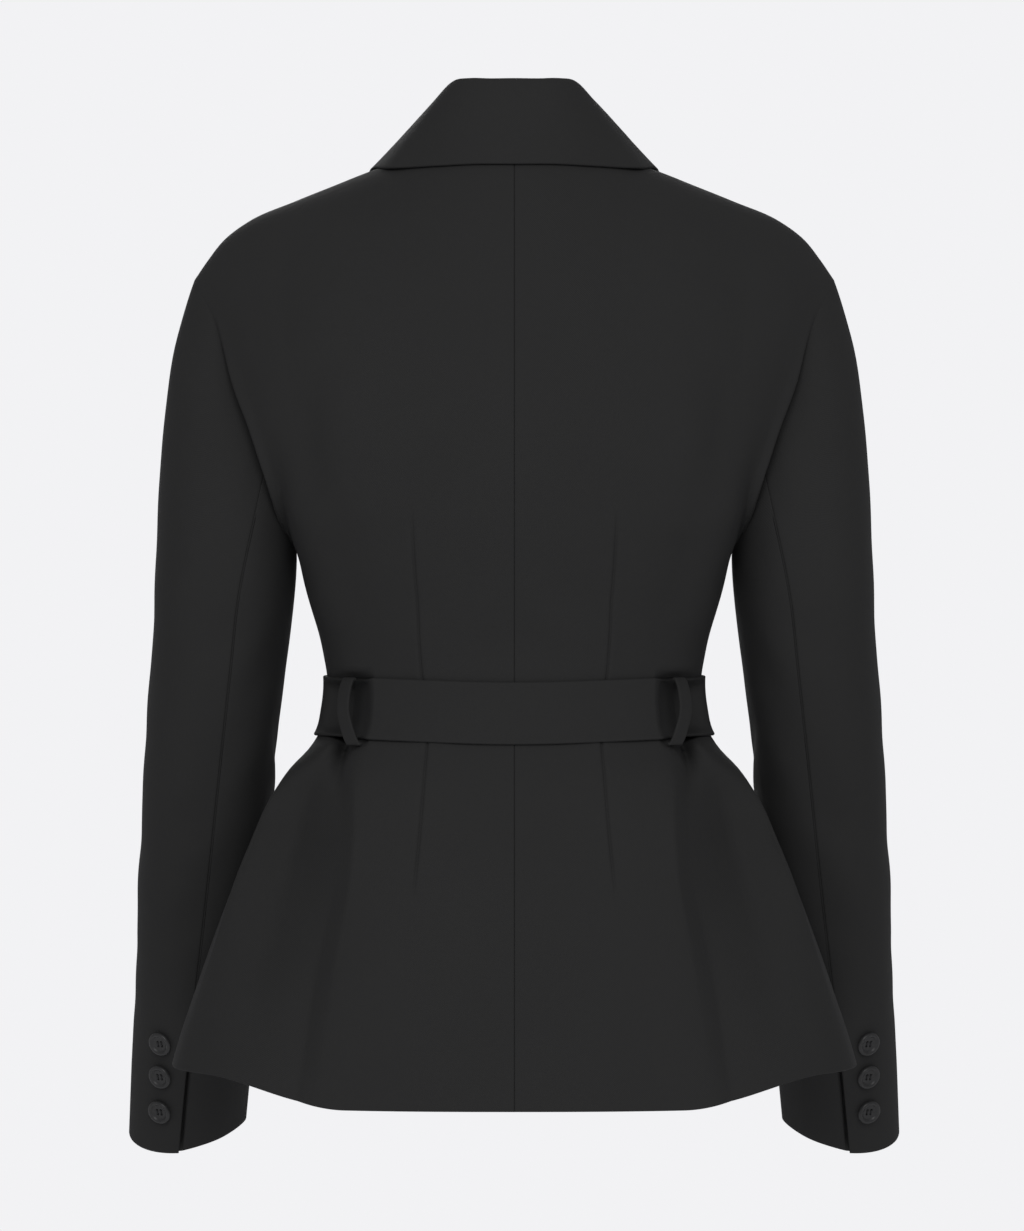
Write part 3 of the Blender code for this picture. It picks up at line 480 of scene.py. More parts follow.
class JacketFinish(bpy.types.PropertyGroup):
    """Colours and textures of the cloth, the buttons and the thread"""

    wool: FloatVectorProperty(name="Wool", description="Colour of the wool cloth", subtype="COLOR",
                              default=SLOTS["wool"], min=0.0, max=1.0)
    horn: FloatVectorProperty(name="Horn", description="Colour of the buttons", subtype="COLOR",
                              default=SLOTS["horn"], min=0.0, max=1.0)
    thread: FloatVectorProperty(name="Thread", description="Colour of the sewing thread", subtype="COLOR",
                                default=(0.016, 0.016, 0.017), min=0.0, max=1.0)
    weave: FloatProperty(name="Weave", description="Distance from one rib of the twill to the next",
                         default=0.9 * MM, min=0.2 * MM, unit="LENGTH", precision=5)
    weave_relief: FloatProperty(name="Weave relief", description="Height of the ribs of the twill",
                                default=0.12 * MM, min=0.0, unit="LENGTH", precision=6)
    fuzz: FloatProperty(name="Fuzz", description="Sheen of the short fibres that stand off the cloth",
                        default=0.02, min=0.0, max=1.0, subtype="FACTOR")


class JacketStage(bpy.types.PropertyGroup):
    """Floor, light and camera"""

    floor: FloatVectorProperty(name="Floor", description="Colour of the floor", subtype="COLOR",
                               default=(0.88, 0.88, 0.89), min=0.0, max=1.0)
    floor_level: FloatProperty(name="Floor level", description="Height of the floor", default=-1.25,
                               unit="LENGTH")
    floor_radius: FloatProperty(name="Floor radius", description="Radius of the round floor", default=3.3,
                                min=1.0, unit="LENGTH")
    surround: FloatVectorProperty(name="Surround", description="Colour of the studio wall round the jacket",
                                  subtype="COLOR", default=(0.888, 0.888, 0.905), min=0.0, max=1.0)
    fill: FloatProperty(name="Fill", description="Strength of the even light from the studio wall",
                        default=0.42, min=0.0)
    key: FloatProperty(name="Key light", description="Power of the broad light behind the camera",
                       default=130.0, min=0.0, unit="POWER")
    front: FloatProperty(name="Front light", description="Power of the broad light on the far side",
                         default=95.0, min=0.0, unit="POWER")
    camera_place: FloatVectorProperty(name="Camera", description="Place of the camera", subtype="TRANSLATION",
                                      unit="LENGTH", default=(0.0015, 2.6, -0.3006))
    lens: FloatProperty(name="Lens", description="Focal length of the camera in millimetres", default=115.2,
                        min=10.0)


def spline(knots, values, at):
    """Smooth curve through the rows of a table, each slope a weighted mean of its two neighbours."""
    knots = np.asarray(knots, float)
    values = np.asarray(values, float)
    if knots[0] > knots[-1]:
        knots = knots[::-1]
        values = values[::-1]
    span = np.diff(knots)
    shape = (-1,) + (1,) * (values.ndim - 1)
    secant = np.diff(values, axis=0) / span.reshape(shape)
    before = span[:-1].reshape(shape)
    after = span[1:].reshape(shape)
    middle = (secant[:-1] * after + secant[1:] * before) / (before + after)
    slope = np.concatenate([secant[:1], middle, secant[-1:]])
    at = np.asarray(at, float)
    row = np.clip(np.searchsorted(knots, at) - 1, 0, len(knots) - 2)
    part = (at - knots[row]) / span[row]
    grow = at.shape + (1,) * (values.ndim - 1)
    part = part.reshape(grow)
    width = span[row].reshape(grow)
    return hermite(values[row], slope[row] * width, values[row + 1], slope[row + 1] * width, part)


def hermite(start, leave, end, arrive, part):
    """Cubic from start to end with the two given end slopes."""
    square = part * part
    cube = square * part
    return ((2 * cube - 3 * square + 1) * start + (cube - 2 * square + part) * leave
            + (3 * square - 2 * cube) * end + (cube - square) * arrive)


def ease(value):
    """Smooth step from 0 to 1."""
    value = np.clip(value, 0.0, 1.0)
    return value * value * (3 - 2 * value)


def bell(value):
    """Bell curve of height 1 and half width 1."""
    return np.exp(-value * value)


def unit(vectors):
    """Vectors scaled to length one."""
    return vectors / np.maximum(np.linalg.norm(vectors, axis=-1, keepdims=True), TINY)


def mix(first, second, share):
    """Straight blend of two arrays."""
    return first + (second - first) * share


def fade(value, start, width):
    """Smooth step from 1 down to 0 over a width."""
    return 1 - ease((value - start) / width)


def spread(*values):
    """Arrays of numbers brought to one shape."""
    return np.broadcast_arrays(*(np.asarray(value, float) for value in values))


def read(table, at, scale=1.0):
    """Columns of a table, each a spline, at values of its first column times a scale."""
    return np.moveaxis(spline(table[:, 0] * scale, table[:, 1:], at), -1, 0)


def places(ends, cells):
    """Values from the first end to the last, with a number of equal cells from each end to the next."""
    stretches = zip(ends, ends[1:], cells)
    parts = [np.linspace(start, end, count, endpoint=False) for start, end, count in stretches]
    return np.append(np.concatenate(parts), ends[-1])


def running_length(points):
    """Length along a line of points, from its first point."""
    return np.concatenate([[0.0], np.linalg.norm(np.diff(points, axis=0), axis=-1).cumsum()])


def from_centre_back(turn):
    """Angle from the centre back, the same on both sides of the body."""
    return np.abs((turn + math.pi) % (2 * math.pi) - math.pi)


def fold(turn, height):
    """Depth of the folds below the belt, by angle from the centre back. On the back a narrow pleat, a pointed
    bell with a steep inner side, runs beside a wide fold that falls from a sharp edge to a rounded foot and
    rises to a crest. On the front there is one soft bell. Places and depths are splines of the height."""
    pleat_turn, pleat_depth, edge, wide_depth = read(FOLD, height, MM)
    past = turn - np.radians(pleat_turn)
    side = np.where(past < 0, PLEAT_INNER, PLEAT_OUTER)
    pleat = pleat_depth * np.exp(-np.abs(past / side) ** PLEAT_POWER)
    edge = np.radians(edge)
    way = np.clip((turn - edge) / (FOLD_FOOT - edge), 0, 1)
    rise = np.clip((turn - FOLD_CREST_FROM) / (FOLD_CREST - FOLD_CREST_FROM), 0, 1) ** FOLD_CREST_POWER
    wide = wide_depth * way * (3 - way * way) / 2 * (1 - rise)
    in_front = bell((turn - FRONT_FOLD_TURN) / FRONT_FOLD_SPREAD)
    soft = FRONT_FOLD_SHARE * (pleat_depth + wide_depth) * in_front
    return bpy.context.scene.jacket_sizes.fold_depth * MM * np.maximum(pleat + wide + soft, 0)


def hollow(turn, height):
    """Depth of the hollow under a belt loop, by angle from the centre back: it falls from a lip to a foot and
    rises again, times a flat-topped hump over the height of the belt."""
    falls = 1 - (1 - np.clip((turn - HOLLOW_LIP) / (HOLLOW_FOOT - HOLLOW_LIP), 0, 1)) ** HOLLOW_FALL
    rises = np.clip((HOLLOW_END - turn) / (HOLLOW_END - HOLLOW_FOOT), 0, 1)
    upright = (2 * height - BELT_TOP - BELT_BOTTOM) / (BELT_TOP - BELT_BOTTOM) / HOLLOW_HEIGHT
    return HOLLOW_DEPTH * falls * rises * np.clip(1 - upright ** HOLLOW_FLAT, 0, 1)


def body(turn, height, folds=True, hollows=True):
    """Body at an angle from the centre back and a height. The radius is that of a squared oval, whose two
    half axes and power are splines of the height. Folds and the hollows under the loops go straight in from
    the back or the front."""
    turn, height = spread(turn, height)
    *lengths, back_square, front_square = read(BODY, height, MM)
    wide, back_depth, front_depth, middle = (length * MM for length in lengths)
    is_back = np.cos(turn) >= 0
    deep = np.where(is_back, back_depth - middle, middle - front_depth)
    square = np.where(is_back, back_square, front_square)
    sideways = np.abs(np.sin(turn) / wide) ** square
    lengthways = np.abs(np.cos(turn) / deep) ** square
    radius = (sideways + lengthways) ** (-1 / square)
    away = from_centre_back(turn)
    inwards = fold(away, height) * folds + hollow(away, height) * hollows
    depth = middle + radius * np.cos(turn) - np.where(is_back, 1, -1) * inwards
    return np.stack([radius * np.sin(turn), depth, height], axis=-1)


def waist(turn, height):
    """Body without its folds, which carries the belt."""
    return body(turn, height, folds=False)


def smooth_waist(turn, height):
    """Body without folds and hollows, which carries the loops."""
    return body(turn, height, folds=False, hollows=False)


def height_share(level):
    """Height as a share of the way from the hem (0) to the underarm (1)."""
    return (level - HEM) / (UNDERARM - HEM)


def lower(turn, up):
    """Body from the hem (0) to the underarm (1), its hem lifted at the hips by a smooth step of the angle."""
    away = from_centre_back(turn)
    hips = ease((away - HEM_RISE_FROM) / (HEM_RISE_FULL - HEM_RISE_FROM))
    hips = hips * ease((math.pi - away) / HEM_RISE_FRONT)
    lift = HEM_RISE * hips * np.clip(1 - up / height_share(BELT_BOTTOM), 0, 1) ** 2
    return body(turn, mix(HEM, UNDERARM, up) + lift)


def armhole(angle):
    """Armhole of the left side, by angle round the arm in degrees: a spline through the table, which goes on
    for three rows at either end and so closes."""
    table = np.vstack([ARMHOLE[-3:] - (360, 0, 0, 0), ARMHOLE, ARMHOLE[:3] + (360, 0, 0, 0)])
    return spline(table[:, 0], table[:, 1:] * MM, np.asarray(angle, float) % 360)


def climb(start_turn, end, arrive, part, lean=None, share=1.0):
    """Cubic from the underarm row up to an edge that it meets in a given direction. It leaves along the body,
    or at a share of the turn from another direction to that one."""
    start = body(start_turn, UNDERARM)
    along = unit(start - body(start_turn, UNDERARM - STEP))
    leave = along if lean is None else unit(mix(lean, along, share))
    reach = np.linalg.norm(end - start, axis=-1, keepdims=True)
    return hermite(start, leave * reach, end, arrive * reach, part[..., None])


def top_edge(share):
    """Line over the left shoulder: a spline from the centre (0) over the neck (NECK_SHARE) to its tip (1)."""
    length = running_length(SHOULDER)
    seam = mix(NECK_SHARE, 1.0, length / length[-1])
    neck = RIDGE[:, 0] / SHOULDER[0, 0] * NECK_SHARE
    knots = np.concatenate([-neck[:0:-1], neck, seam])
    rows = np.vstack([RIDGE[:0:-1] * (-1, 1, 1), RIDGE, SHOULDER])
    return spline(knots, rows * MM, share)


def back_panel(turn, up):
    """Left back by angle and height, from hem (0) over underarm (1) to the top (2). Above the underarm each
    angle climbs on a cubic to the shoulder line, cut at the neckline, and is drawn sideways onto the
    armhole."""
    turn, up = spread(turn, up)
    cut = NECK_CUT * np.clip(1 - (turn / SIDE / NECK_SHARE) ** 2, 0, 1)
    part = np.maximum(up - 1, 0) * (1 - cut)

    def rising(angle):
        return climb(angle, top_edge(angle / SIDE), -AT_SHOULDER, part)

    side = rising(np.full_like(turn, SIDE))
    pull = np.clip((turn / SIDE - BACK_CALM) / (1 - BACK_CALM), 0, None)[..., None] ** 2
    wall = rising(turn) + pull * (armhole(180 - 180 * part) - side)
    return np.where((up > 1)[..., None], wall, lower(turn, np.minimum(up, 1)))


def back(turn, up):
    """Left back with its bend at the underarm row rounded off: near that row a cubic runs from the panel
    below to the panel above. It fades out towards the side seam, where the armhole begins with a corner."""
    turn, up = spread(turn, up)
    low = np.full_like(up, 1 - UNDERARM_ROUND)
    high = np.full_like(up, 1 + UNDERARM_ROUND)
    start, end = back_panel(turn, low), back_panel(turn, high)
    steps = 2 * UNDERARM_ROUND / STEP
    leave = (start - back_panel(turn, low - STEP)) * steps
    arrive = (back_panel(turn, high + STEP) - end) * steps
    bridge = hermite(start, leave, end, arrive, (up - low)[..., None] / (2 * UNDERARM_ROUND))
    near = (np.abs(up - 1) < UNDERARM_ROUND) * ease((1 - turn / SIDE) / UNDERARM_CORNER)
    return mix(back_panel(turn, up), bridge, near[..., None])


def edge_turn(height):
    """Angle of the front edge, past the centre front below the break and sloping to the neck above it."""
    _, _, front_depth, middle, _, _ = read(BODY * MM, height)
    slope = (SHOULDER[0, 0] * MM + OVERLAP) / -BREAK
    past = OVERLAP - np.maximum(height - BREAK, 0) * slope
    return math.pi + np.arctan2(past, middle - front_depth)


def front_turn(across, up):
    """Angle of a place across the front, from side seam (0) to front edge (1), at a height share."""
    return mix(SIDE, edge_turn(mix(HEM, UNDERARM, np.minimum(up, 1))), across)


def front(across, up):
    """Left front from side seam (0) to front edge (1), and from hem (0) over underarm (1) to shoulder (2).
    Above the underarm each place climbs on a cubic to the shoulder seam and is drawn sideways onto the
    armhole."""
    across, up = spread(across, up)
    part = np.maximum(up - 1, 0)
    edge = edge_turn(np.full_like(up, UNDERARM))
    neckline = unit(SHOULDER[0] * MM - body(edge, UNDERARM))

    def rising(place):
        near = ease((1 - place) / FRONT_CALM)[..., None]
        arrive = unit(mix(neckline, AT_SHOULDER, near))
        end = top_edge(mix(1.0, NECK_SHARE, place))
        return climb(mix(SIDE, edge, place), end, arrive, part, neckline, mix(EDGE_ROUND, 1.0, near))

    pull = np.clip(1 - across / (1 - BACK_CALM), 0, None)[..., None] ** 2
    wall = rising(across) + pull * (armhole(180 + 180 * part) - rising(np.zeros_like(across)))
    return np.where((up > 1)[..., None], wall, lower(front_turn(across, up), np.minimum(up, 1)))


def normals(surface, across, up):
    """Outward directions of a surface: the cross product of small steps along its two coordinates."""
    along_across = surface(across + STEP, up) - surface(across - STEP, up)
    along_up = surface(across, up + STEP) - surface(across, up - STEP)
    return unit(np.cross(along_up, along_across))


def grid_normals(points):
    """Directions of a grid of points: the cross product of its differences along rows and columns."""
    return unit(np.cross(np.gradient(points, axis=0), np.gradient(points, axis=1)))


def lapped_front(across, up):
    """Front of the right side, drawn as a left one, lifted off the front beneath it near the centre."""
    across, up = spread(across, up)
    lift = LAP_LIFT * fade(up, LAP_FADE[0], LAP_FADE[1] - LAP_FADE[0])
    lift = lift * ease((front_turn(across, up) - LAP_FROM) / (LAP_FULL - LAP_FROM))
    return front(across, up) + lift[..., None] * normals(front, across, up)


def ring(angle, share):
    """Sleeve ring: a squared oval, tilted back and out, by angle in degrees, from the upper arm (0) to the
    cuff (1)."""
    angle, share = spread(angle, share)
    height = mix(SLEEVE[0, 0], SLEEVE[-1, 0], share)
    *lengths, drop_back, drop_out, seam, square, inner_square = read(SLEEVE, height)
    middle_x, middle_y, wide, deep = (length * MM for length in lengths)
    around = np.radians(angle + seam - HIND_SEAM)
    power = np.where((around > math.pi / 2) & (around < math.pi), inner_square, square)
    radius = (np.abs(np.cos(around)) ** power + np.abs(np.sin(around)) ** power) ** (-1 / power)
    outwards = wide * radius * np.cos(around)
    backwards = deep * radius * np.sin(around)
    drop_back, drop_out = np.radians(drop_back), np.radians(drop_out)
    return np.stack([
        middle_x + outwards * np.cos(drop_out),
        middle_y + backwards * np.cos(drop_back),
        height * MM - outwards * np.sin(drop_out) - backwards * np.sin(drop_back),
    ], axis=-1)


def sleeve(angle, down):
    """Left sleeve by angle round the arm, from the armhole (0) over the upper arm (1) to the cuff (2): a
    cubic cap that bulges outwards, then the rings."""
    angle, down = spread(angle, down)
    start = armhole(angle)
    end = ring(angle, 0.0)
    reach = np.linalg.norm(end - start, axis=-1, keepdims=True)
    around = np.radians(angle)
    outwards = np.stack([np.cos(around), np.sin(around), np.zeros_like(around)], axis=-1)
    bulge = CAP_BULGE * ((1 + np.cos(around)) / 2)[..., None] ** CAP_TAPER
    leave = end - start + bulge * reach * outwards
    arrive = unit(ring(angle, STEP) - end) * reach
    cap = hermite(start, leave, end, arrive, np.minimum(down, 1)[..., None])
    return np.where((down > 1)[..., None], ring(angle, np.maximum(down - 1, 0)), cap)


def under_sleeve(angle, down):
    """Under sleeve, set in by a smooth step along the cuff vent so that the top sleeve laps over it."""
    angle, down = spread(angle, down)
    step = VENT_STEP * fade(angle, HIND_SEAM, VENT_SPREAD) * ease((down - 1 - VENT_FROM) / VENT_RAMP)
    return sleeve(angle, down) - step[..., None] * normals(sleeve, angle, down)


def edge_height(place):
    """Height share on the front edge at a share of the way from the neck to the break."""
    past = (place - EDGE_UNDERARM) / (1 - EDGE_UNDERARM)
    below = mix(1.0, height_share(BREAK), past)
    return np.where(place < EDGE_UNDERARM, 2 - place / EDGE_UNDERARM, below)


def edge_place(level):
    """Share of the way from the neck to the break at a height on the front edge."""
    if level > UNDERARM:
        return EDGE_UNDERARM * level / UNDERARM
    return mix(EDGE_UNDERARM, 1.0, (1 - height_share(level)) / (1 - height_share(BREAK)))


def seam_of_collar(front_of, share, end):
    """Edge of back and front that carries the collar: point, direction off the panel, outward direction."""
    on_neck = (share < COLLAR_NECK)[..., None]
    turn = np.clip(share / COLLAR_NECK, 0, 1) * NECK_SHARE * SIDE
    place = np.clip((share - COLLAR_NECK) / (1 - COLLAR_NECK), 0, 1) * end
    up = edge_height(place)
    top = np.full_like(turn, 2.0)
    rim = np.ones_like(up)
    point = np.where(on_neck, back(turn, top), front_of(rim, up))
    facing = np.where(on_neck, normals(back, turn, top), normals(front_of, rim, up))
    off_back = unit(back(turn, top) - back(turn, top - STEP))
    off_front = unit(front_of(rim, up) - front_of(rim - STEP, up))
    return point, np.where(on_neck, off_back, off_front), unit(facing)


def fall_on_panel(front_of, share, end, reach):
    """Point and outward direction under the fall of the collar, at a share of its reach from the seam."""
    on_back = (share < COLLAR_NECK)[..., None]
    way = np.clip(share / COLLAR_NECK, 0, 1)
    rim = spline(COLLAR_BACK[:, 0], COLLAR_BACK[:, 1:], way)
    turn = mix(way * NECK_SHARE, rim[..., 0], reach) * SIDE
    height = 2 - rim[..., 1] * reach
    place = np.clip((share - COLLAR_NECK) / (1 - COLLAR_NECK), 0, 1)
    up = edge_height(place * end)
    rim = spline(COLLAR_FRONT[:, 0], COLLAR_FRONT[:, 1], up)
    across = mix(1.0, rim, reach)
    point = np.where(on_back, back(turn, height), front_of(across, up))
    facing = np.where(on_back, normals(back, turn, height), normals(front_of, across, up))
    return point, unit(facing)


def collar(front_of, share, section, seam_end, edge_end):
    """Half collar by share of its length from the centre back and by section from the neck seam (0) over
    the fold line (FALL_FOLD) to the outer edge (1): one cubic for the stand and one for the fall, which
    turns into a lapel that lies on the front."""
    share, section = spread(share, section)
    point, off, facing = seam_of_collar(front_of, share, seam_end)
    start = point + bpy.context.scene.jacket_sizes.seam * off
    crest = point + spline(COLLAR_FOLD[:, 0], COLLAR_FOLD[:, 1:] * MM, share)
    edge, edge_facing = fall_on_panel(front_of, share, edge_end, np.ones_like(share))
    edge = edge + FALL_LAY * edge_facing
    lapel = ease((share - COLLAR_NECK) / LAPEL_TURN)[..., None]
    over = unit(mix(edge - point, facing, LAPEL_ROLL * lapel))

    stand_part = np.clip(section / FALL_FOLD, 0, 1)[..., None]
    height = np.linalg.norm(crest - start, axis=-1, keepdims=True)
    leave = unit(mix(crest - start, off * height, lapel)) * height
    stand = hermite(start, leave, crest, over * np.minimum(height, STAND_ROUND), stand_part)

    fall_part = np.clip((section - FALL_FOLD) / (1 - FALL_FOLD), 0, None)
    width = np.linalg.norm(edge - crest, axis=-1, keepdims=True)
    leave = over * np.minimum(width / 2, FALL_ROUND)
    hang = hermite(crest, leave, edge, (edge - crest) * FALL_END, fall_part[..., None])
    seam_share = mix(seam_end, edge_end, fall_part ** COLLAR_END_LEAN)
    under, under_facing = fall_on_panel(front_of, share, seam_share, fall_part)
    over_panel = np.sum((hang - under) * under_facing, axis=-1, keepdims=True)
    hang = hang + under_facing * np.maximum(FALL_LAY - over_panel, 0)

    away = np.linalg.norm(under - point, axis=-1, keepdims=True)
    laid = under + under_facing * (FALL_LAY + ROLL_HEIGHT * bell(away / ROLL_REACH))
    laid = laid + (crest - point - facing * (FALL_LAY + ROLL_HEIGHT)) * bell(away / ROLL_TURN)
    return np.where((section > FALL_FOLD)[..., None], mix(hang, laid, lapel), stand)


def belt(turn, height):
    """Inner side of the belt, wound round the body over the lapped fronts and over its own inner end. It dips
    at the centre back and rises to the sides."""
    turn, height = spread(turn, height)
    height = height + BELT_DIP + BELT_RISE * ease(from_centre_back(turn) / BELT_RISE_TURN)
    place = turn % (2 * math.pi)
    climbs = ease((place - BELT_CLIMB[0]) / (BELT_CLIMB[1] - BELT_CLIMB[0]))
    past_lap = ease((place + LAP_FULL - 2 * math.pi) / (LAP_FULL - LAP_FROM))
    second = ease((BELT_LAP[0] - turn) / (BELT_LAP[0] - BELT_LAP[1]))
    doubled = bpy.context.scene.jacket_sizes.belt_cloth + LAY
    out = LAY + LAP_LIFT * climbs * (1 - past_lap) + doubled * second
    return waist(turn, height) + out[..., None] * normals(waist, turn, height)


def ripple(points):
    """Slow unevenness of worn cloth: the sum of plane waves of different lengths and directions."""
    swell = np.zeros(points.shape[:-1])
    for across, along, through, height, start in WAVES:
        phase = points / (np.array((across, through, along)) * MM)
        swell = swell + height * MM * np.sin(phase.sum(axis=-1) * 2 * math.pi + start)
    return swell * bpy.context.scene.jacket_sizes.unevenness


def creases(surface, points, table):
    """Sum of soft creases. Each follows the surface from one place to another: a bell of the distance from
    that line, fading to its two ends."""
    relief = np.zeros(points.shape[:-1])
    share = np.linspace(0, 1, CREASE_STEPS + 1)
    for from_across, from_up, to_across, to_up, width, height in table:
        line = surface(mix(from_across, to_across, share), mix(from_up, to_up, share))
        run = np.diff(line, axis=0)
        offset = points[..., None, :] - line[:-1]
        part = np.clip(np.sum(offset * run, axis=-1) / np.sum(run * run, axis=-1), 0, 1)
        away = np.linalg.norm(offset - part[..., None] * run, axis=-1)
        near = np.argmin(away, axis=-1)[..., None]
        along = (near + np.take_along_axis(part, near, axis=-1))[..., 0] / CREASE_STEPS
        nearest = np.take_along_axis(away, near, axis=-1)[..., 0]
        relief = relief + height * MM * np.sin(math.pi * along) * bell(nearest / (width * MM))
    return relief


def dart_groove(turn, up):
    """Groove of the back dart: a narrow bell across its line, between two low swells of cloth."""
    sizes = bpy.context.scene.jacket_sizes
    line, opening = read(DART, up)
    away = (turn - line) * DART_RADIUS / sizes.dart_width
    swell = DART_SWELL * bell((np.abs(away) - DART_SWELL_PLACE) / DART_SWELL_SPREAD)
    return sizes.dart_depth * np.clip(opening, 0, 1) * (swell - bell(away))


def arm_angle(up, way):
    """Angle round the arm at a height share of a panel, on the back (way -1) or on the front (way 1)."""
    return 180 + way * 180 * np.clip(up - 1, 0, 1)


def ditch(angle):
    """Depth to which the seam of the sleeve is sunk, by angle round the arm."""
    return np.maximum(spline(DITCH[:, 0], DITCH[:, 1], angle), 0) * MM


def flatter(turn, up):
    """How far the back stands out by its side seam: smooth steps of the angle times a bell of the height."""
    start, full, end, over = FLAT_TURNS
    across = ease((turn - start) / (full - start)) * fade(turn, end, over - end)
    return FLAT * across * bell((up - FLAT_UP) / FLAT_SPREAD)


def ditch_on_back(turn, up):
    """How far the edge of the back turns in to the sunk seam: a bell there, less a wide roll beside it."""
    away = SIDE - turn
    angle = arm_angle(up, -1)
    roll = spline(ROLL[:, 0], ROLL[:, 1], angle) * MM * bell((away - ROLL_PLACE) / ROLL_SPREAD)
    return mix(-roll, ditch(angle), bell(away / DITCH_ON_BACK))


def lip(turn, up):
    """How far the edge of the back laps over the sunk seam: a bell of the angle, zero at the seam itself."""
    away = SIDE - turn
    share = ditch(arm_angle(up, -1)) / (DITCH[:, 1].max() * MM)
    return LIP * share * bell(away / LIP_SPREAD) * (1 - bell(away / DITCH_ON_BACK))


def ditch_on_sleeve(angle, down):
    """How far the sleeve lies in beside the sunk seam: a parabola that rises to zero away from the seam."""
    away = np.linalg.norm(sleeve(angle, down) - armhole(angle), axis=-1)
    return ditch(angle % 360) * np.clip(1 - away / DITCH_ON_SLEEVE, 0, 1) ** 2


def taut(turns, depth):
    """Depth of rows of cloth drawn taut across their hollows: over each angle, the row's highest chord."""
    first, last, here = np.ix_(*[np.arange(len(turns))] * 3)
    within = (first <= here) & (here <= last) & (first < last)
    span = np.where(within, turns[last] - turns[first], 1)
    share = np.where(within, (turns[here] - turns[first]) / span, 0)
    chord = mix(depth[:, first], depth[:, last], share)
    return np.where(within, chord, -np.inf).max(axis=(1, 2))


def armhole_round(angle):
    """Share of the seam radius along the armhole, by angle round the arm: small over the smooth sleeve head,
    then a smooth step of the height."""
    down = (1 - np.cos(np.radians(angle))) / 2
    return mix(HEAD_ROUND, 1.0, ease(down / HEAD_SHARE - 0.5))


def border(points, facing, sink, radius):
    """Grid whose first row is replaced by the rows of a quarter-round edge, and how far each point sinks."""
    toward = unit(points[1] - points[0])
    around = ROUND[:, None]
    radius = np.broadcast_to(radius, points.shape[1:2])
    rows = points[0] + (radius * (1 - np.cos(around)))[..., None] * toward
    directions = np.repeat(facing[:1], len(ROUND), axis=0)
    drops = np.maximum(radius * (1 - np.sin(around)), sink[:1])
    return (np.concatenate([rows, points[1:]]), np.concatenate([directions, facing[1:]]),
            np.concatenate([drops, sink[1:]]))


def rounded(points, facing, radii):
    """Grid with quarter-round edges at its first row, last row, first column and last column, and how far
    each point sinks below the face of the cloth. A radius is one number, or one for each point of its
    edge."""
    sink = np.zeros(points.shape[:2])
    for edge, radius in enumerate(radii):
        axis, is_last = divmod(edge, 2)
        way = -1 if is_last else 1
        if axis and np.ndim(radius):
            radius = np.pad(radius, len(ROUND) - 1, mode="edge")
        points, facing, sink = (np.swapaxes(a, 0, axis)[::way] for a in (points, facing, sink))
        points, facing, sink = border(points, facing, sink, radius)
        points, facing, sink = (np.swapaxes(a[::way], 0, axis) for a in (points, facing, sink))
    return points, facing, sink


def flat_coordinates(points):
    """Place of each grid point on the flat cloth in metres: running lengths of the middle row and column."""
    across = running_length(points[points.shape[0] // 2])
    along = running_length(points[:, points.shape[1] // 2])
    return np.stack(np.meshgrid(across, along), axis=-1)


def faces_of(*corners):
    """Faces from arrays of the numbers of their three or four corners."""
    return np.stack(corners, axis=-1).reshape(-1, len(corners))


def shell_faces(rows, columns):
    """Faces of a closed shell between two grids: outer side, inner side and the rim."""
    number = np.arange(rows * columns).reshape(rows, columns)
    far = number + rows * columns
    rim = np.concatenate([number[0, :-1], number[:-1, -1], number[-1, :0:-1], number[:0:-1, 0]])
    ahead = np.roll(rim, -1)
    return np.concatenate([
        faces_of(number[:-1, :-1], number[1:, :-1], number[1:, 1:], number[:-1, 1:]),
        faces_of(far[:-1, :-1], far[:-1, 1:], far[1:, 1:], far[1:, :-1]),
        faces_of(rim, ahead, ahead + rows * columns, rim + rows * columns),
    ])


def tube(first, rings, sides):
    """Numbers of a tube's points, ring by ring from a first one, of the points beside them, and its faces."""
    number = first + np.arange(rings * sides).reshape(rings, sides)
    ahead = np.roll(number, -1, axis=1)
    return number, ahead, faces_of(number[:-1], ahead[:-1], ahead[1:], number[1:])


def put(name, points, faces, material, coordinates=None):
    """Object of one smooth mesh at the origin, with its flat coordinates as a UV map."""
    mesh = bpy.data.meshes.new(name)
    mesh.from_pydata(points.tolist(), [], [tuple(face) for face in faces])
    mesh.polygons.foreach_set("use_smooth", np.ones(len(mesh.polygons), bool))
    if coordinates is not None:
        corners = np.empty(len(mesh.loops), np.int32)
        mesh.loops.foreach_get("vertex_index", corners)
        mesh.uv_layers.new(name="cloth").data.foreach_set("uv", coordinates[corners].ravel())
    mesh.materials.append(material)
    mesh.update()
    piece = bpy.data.objects.new(name, mesh)
    bpy.context.scene.collection.objects.link(piece)
    return piece


def sew(node, points, facing, radii, cloth, mirror=False, raised=False):
    """Closed sheet of cloth for a node: the drawn grid is its outer side, or its inner side where it is
    raised, and the other side lies one thickness away, with rounded edges all round."""
    grid, through, sink = rounded(points, facing, radii)
    lift = cloth if raised else 0.0
    outer = grid + (lift - sink)[..., None] * through
    inner = grid + (lift - cloth + sink)[..., None] * through
    corners = np.concatenate([outer.reshape(-1, 3), inner.reshape(-1, 3)])
    faces = shell_faces(*grid.shape[:2])
    if mirror:
        corners = corners * (-1, 1, 1)
        faces = faces[:, (0, 3, 2, 1)]
    flat = np.tile(flat_coordinates(grid).reshape(-1, 2), (2, 1))
    piece = put(f"{node}_cloth", corners, faces, wool_cloth(), flat)
    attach(piece, "root")
    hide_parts(node)
    return piece


def shared_facing(own, other):
    """Direction through the cloth at a seam where two panels meet at an angle."""
    agree = ease((np.sum(own * other, axis=-1, keepdims=True) - OPPOSED) / (AGREED - OPPOSED))
    return unit(own + agree * other)


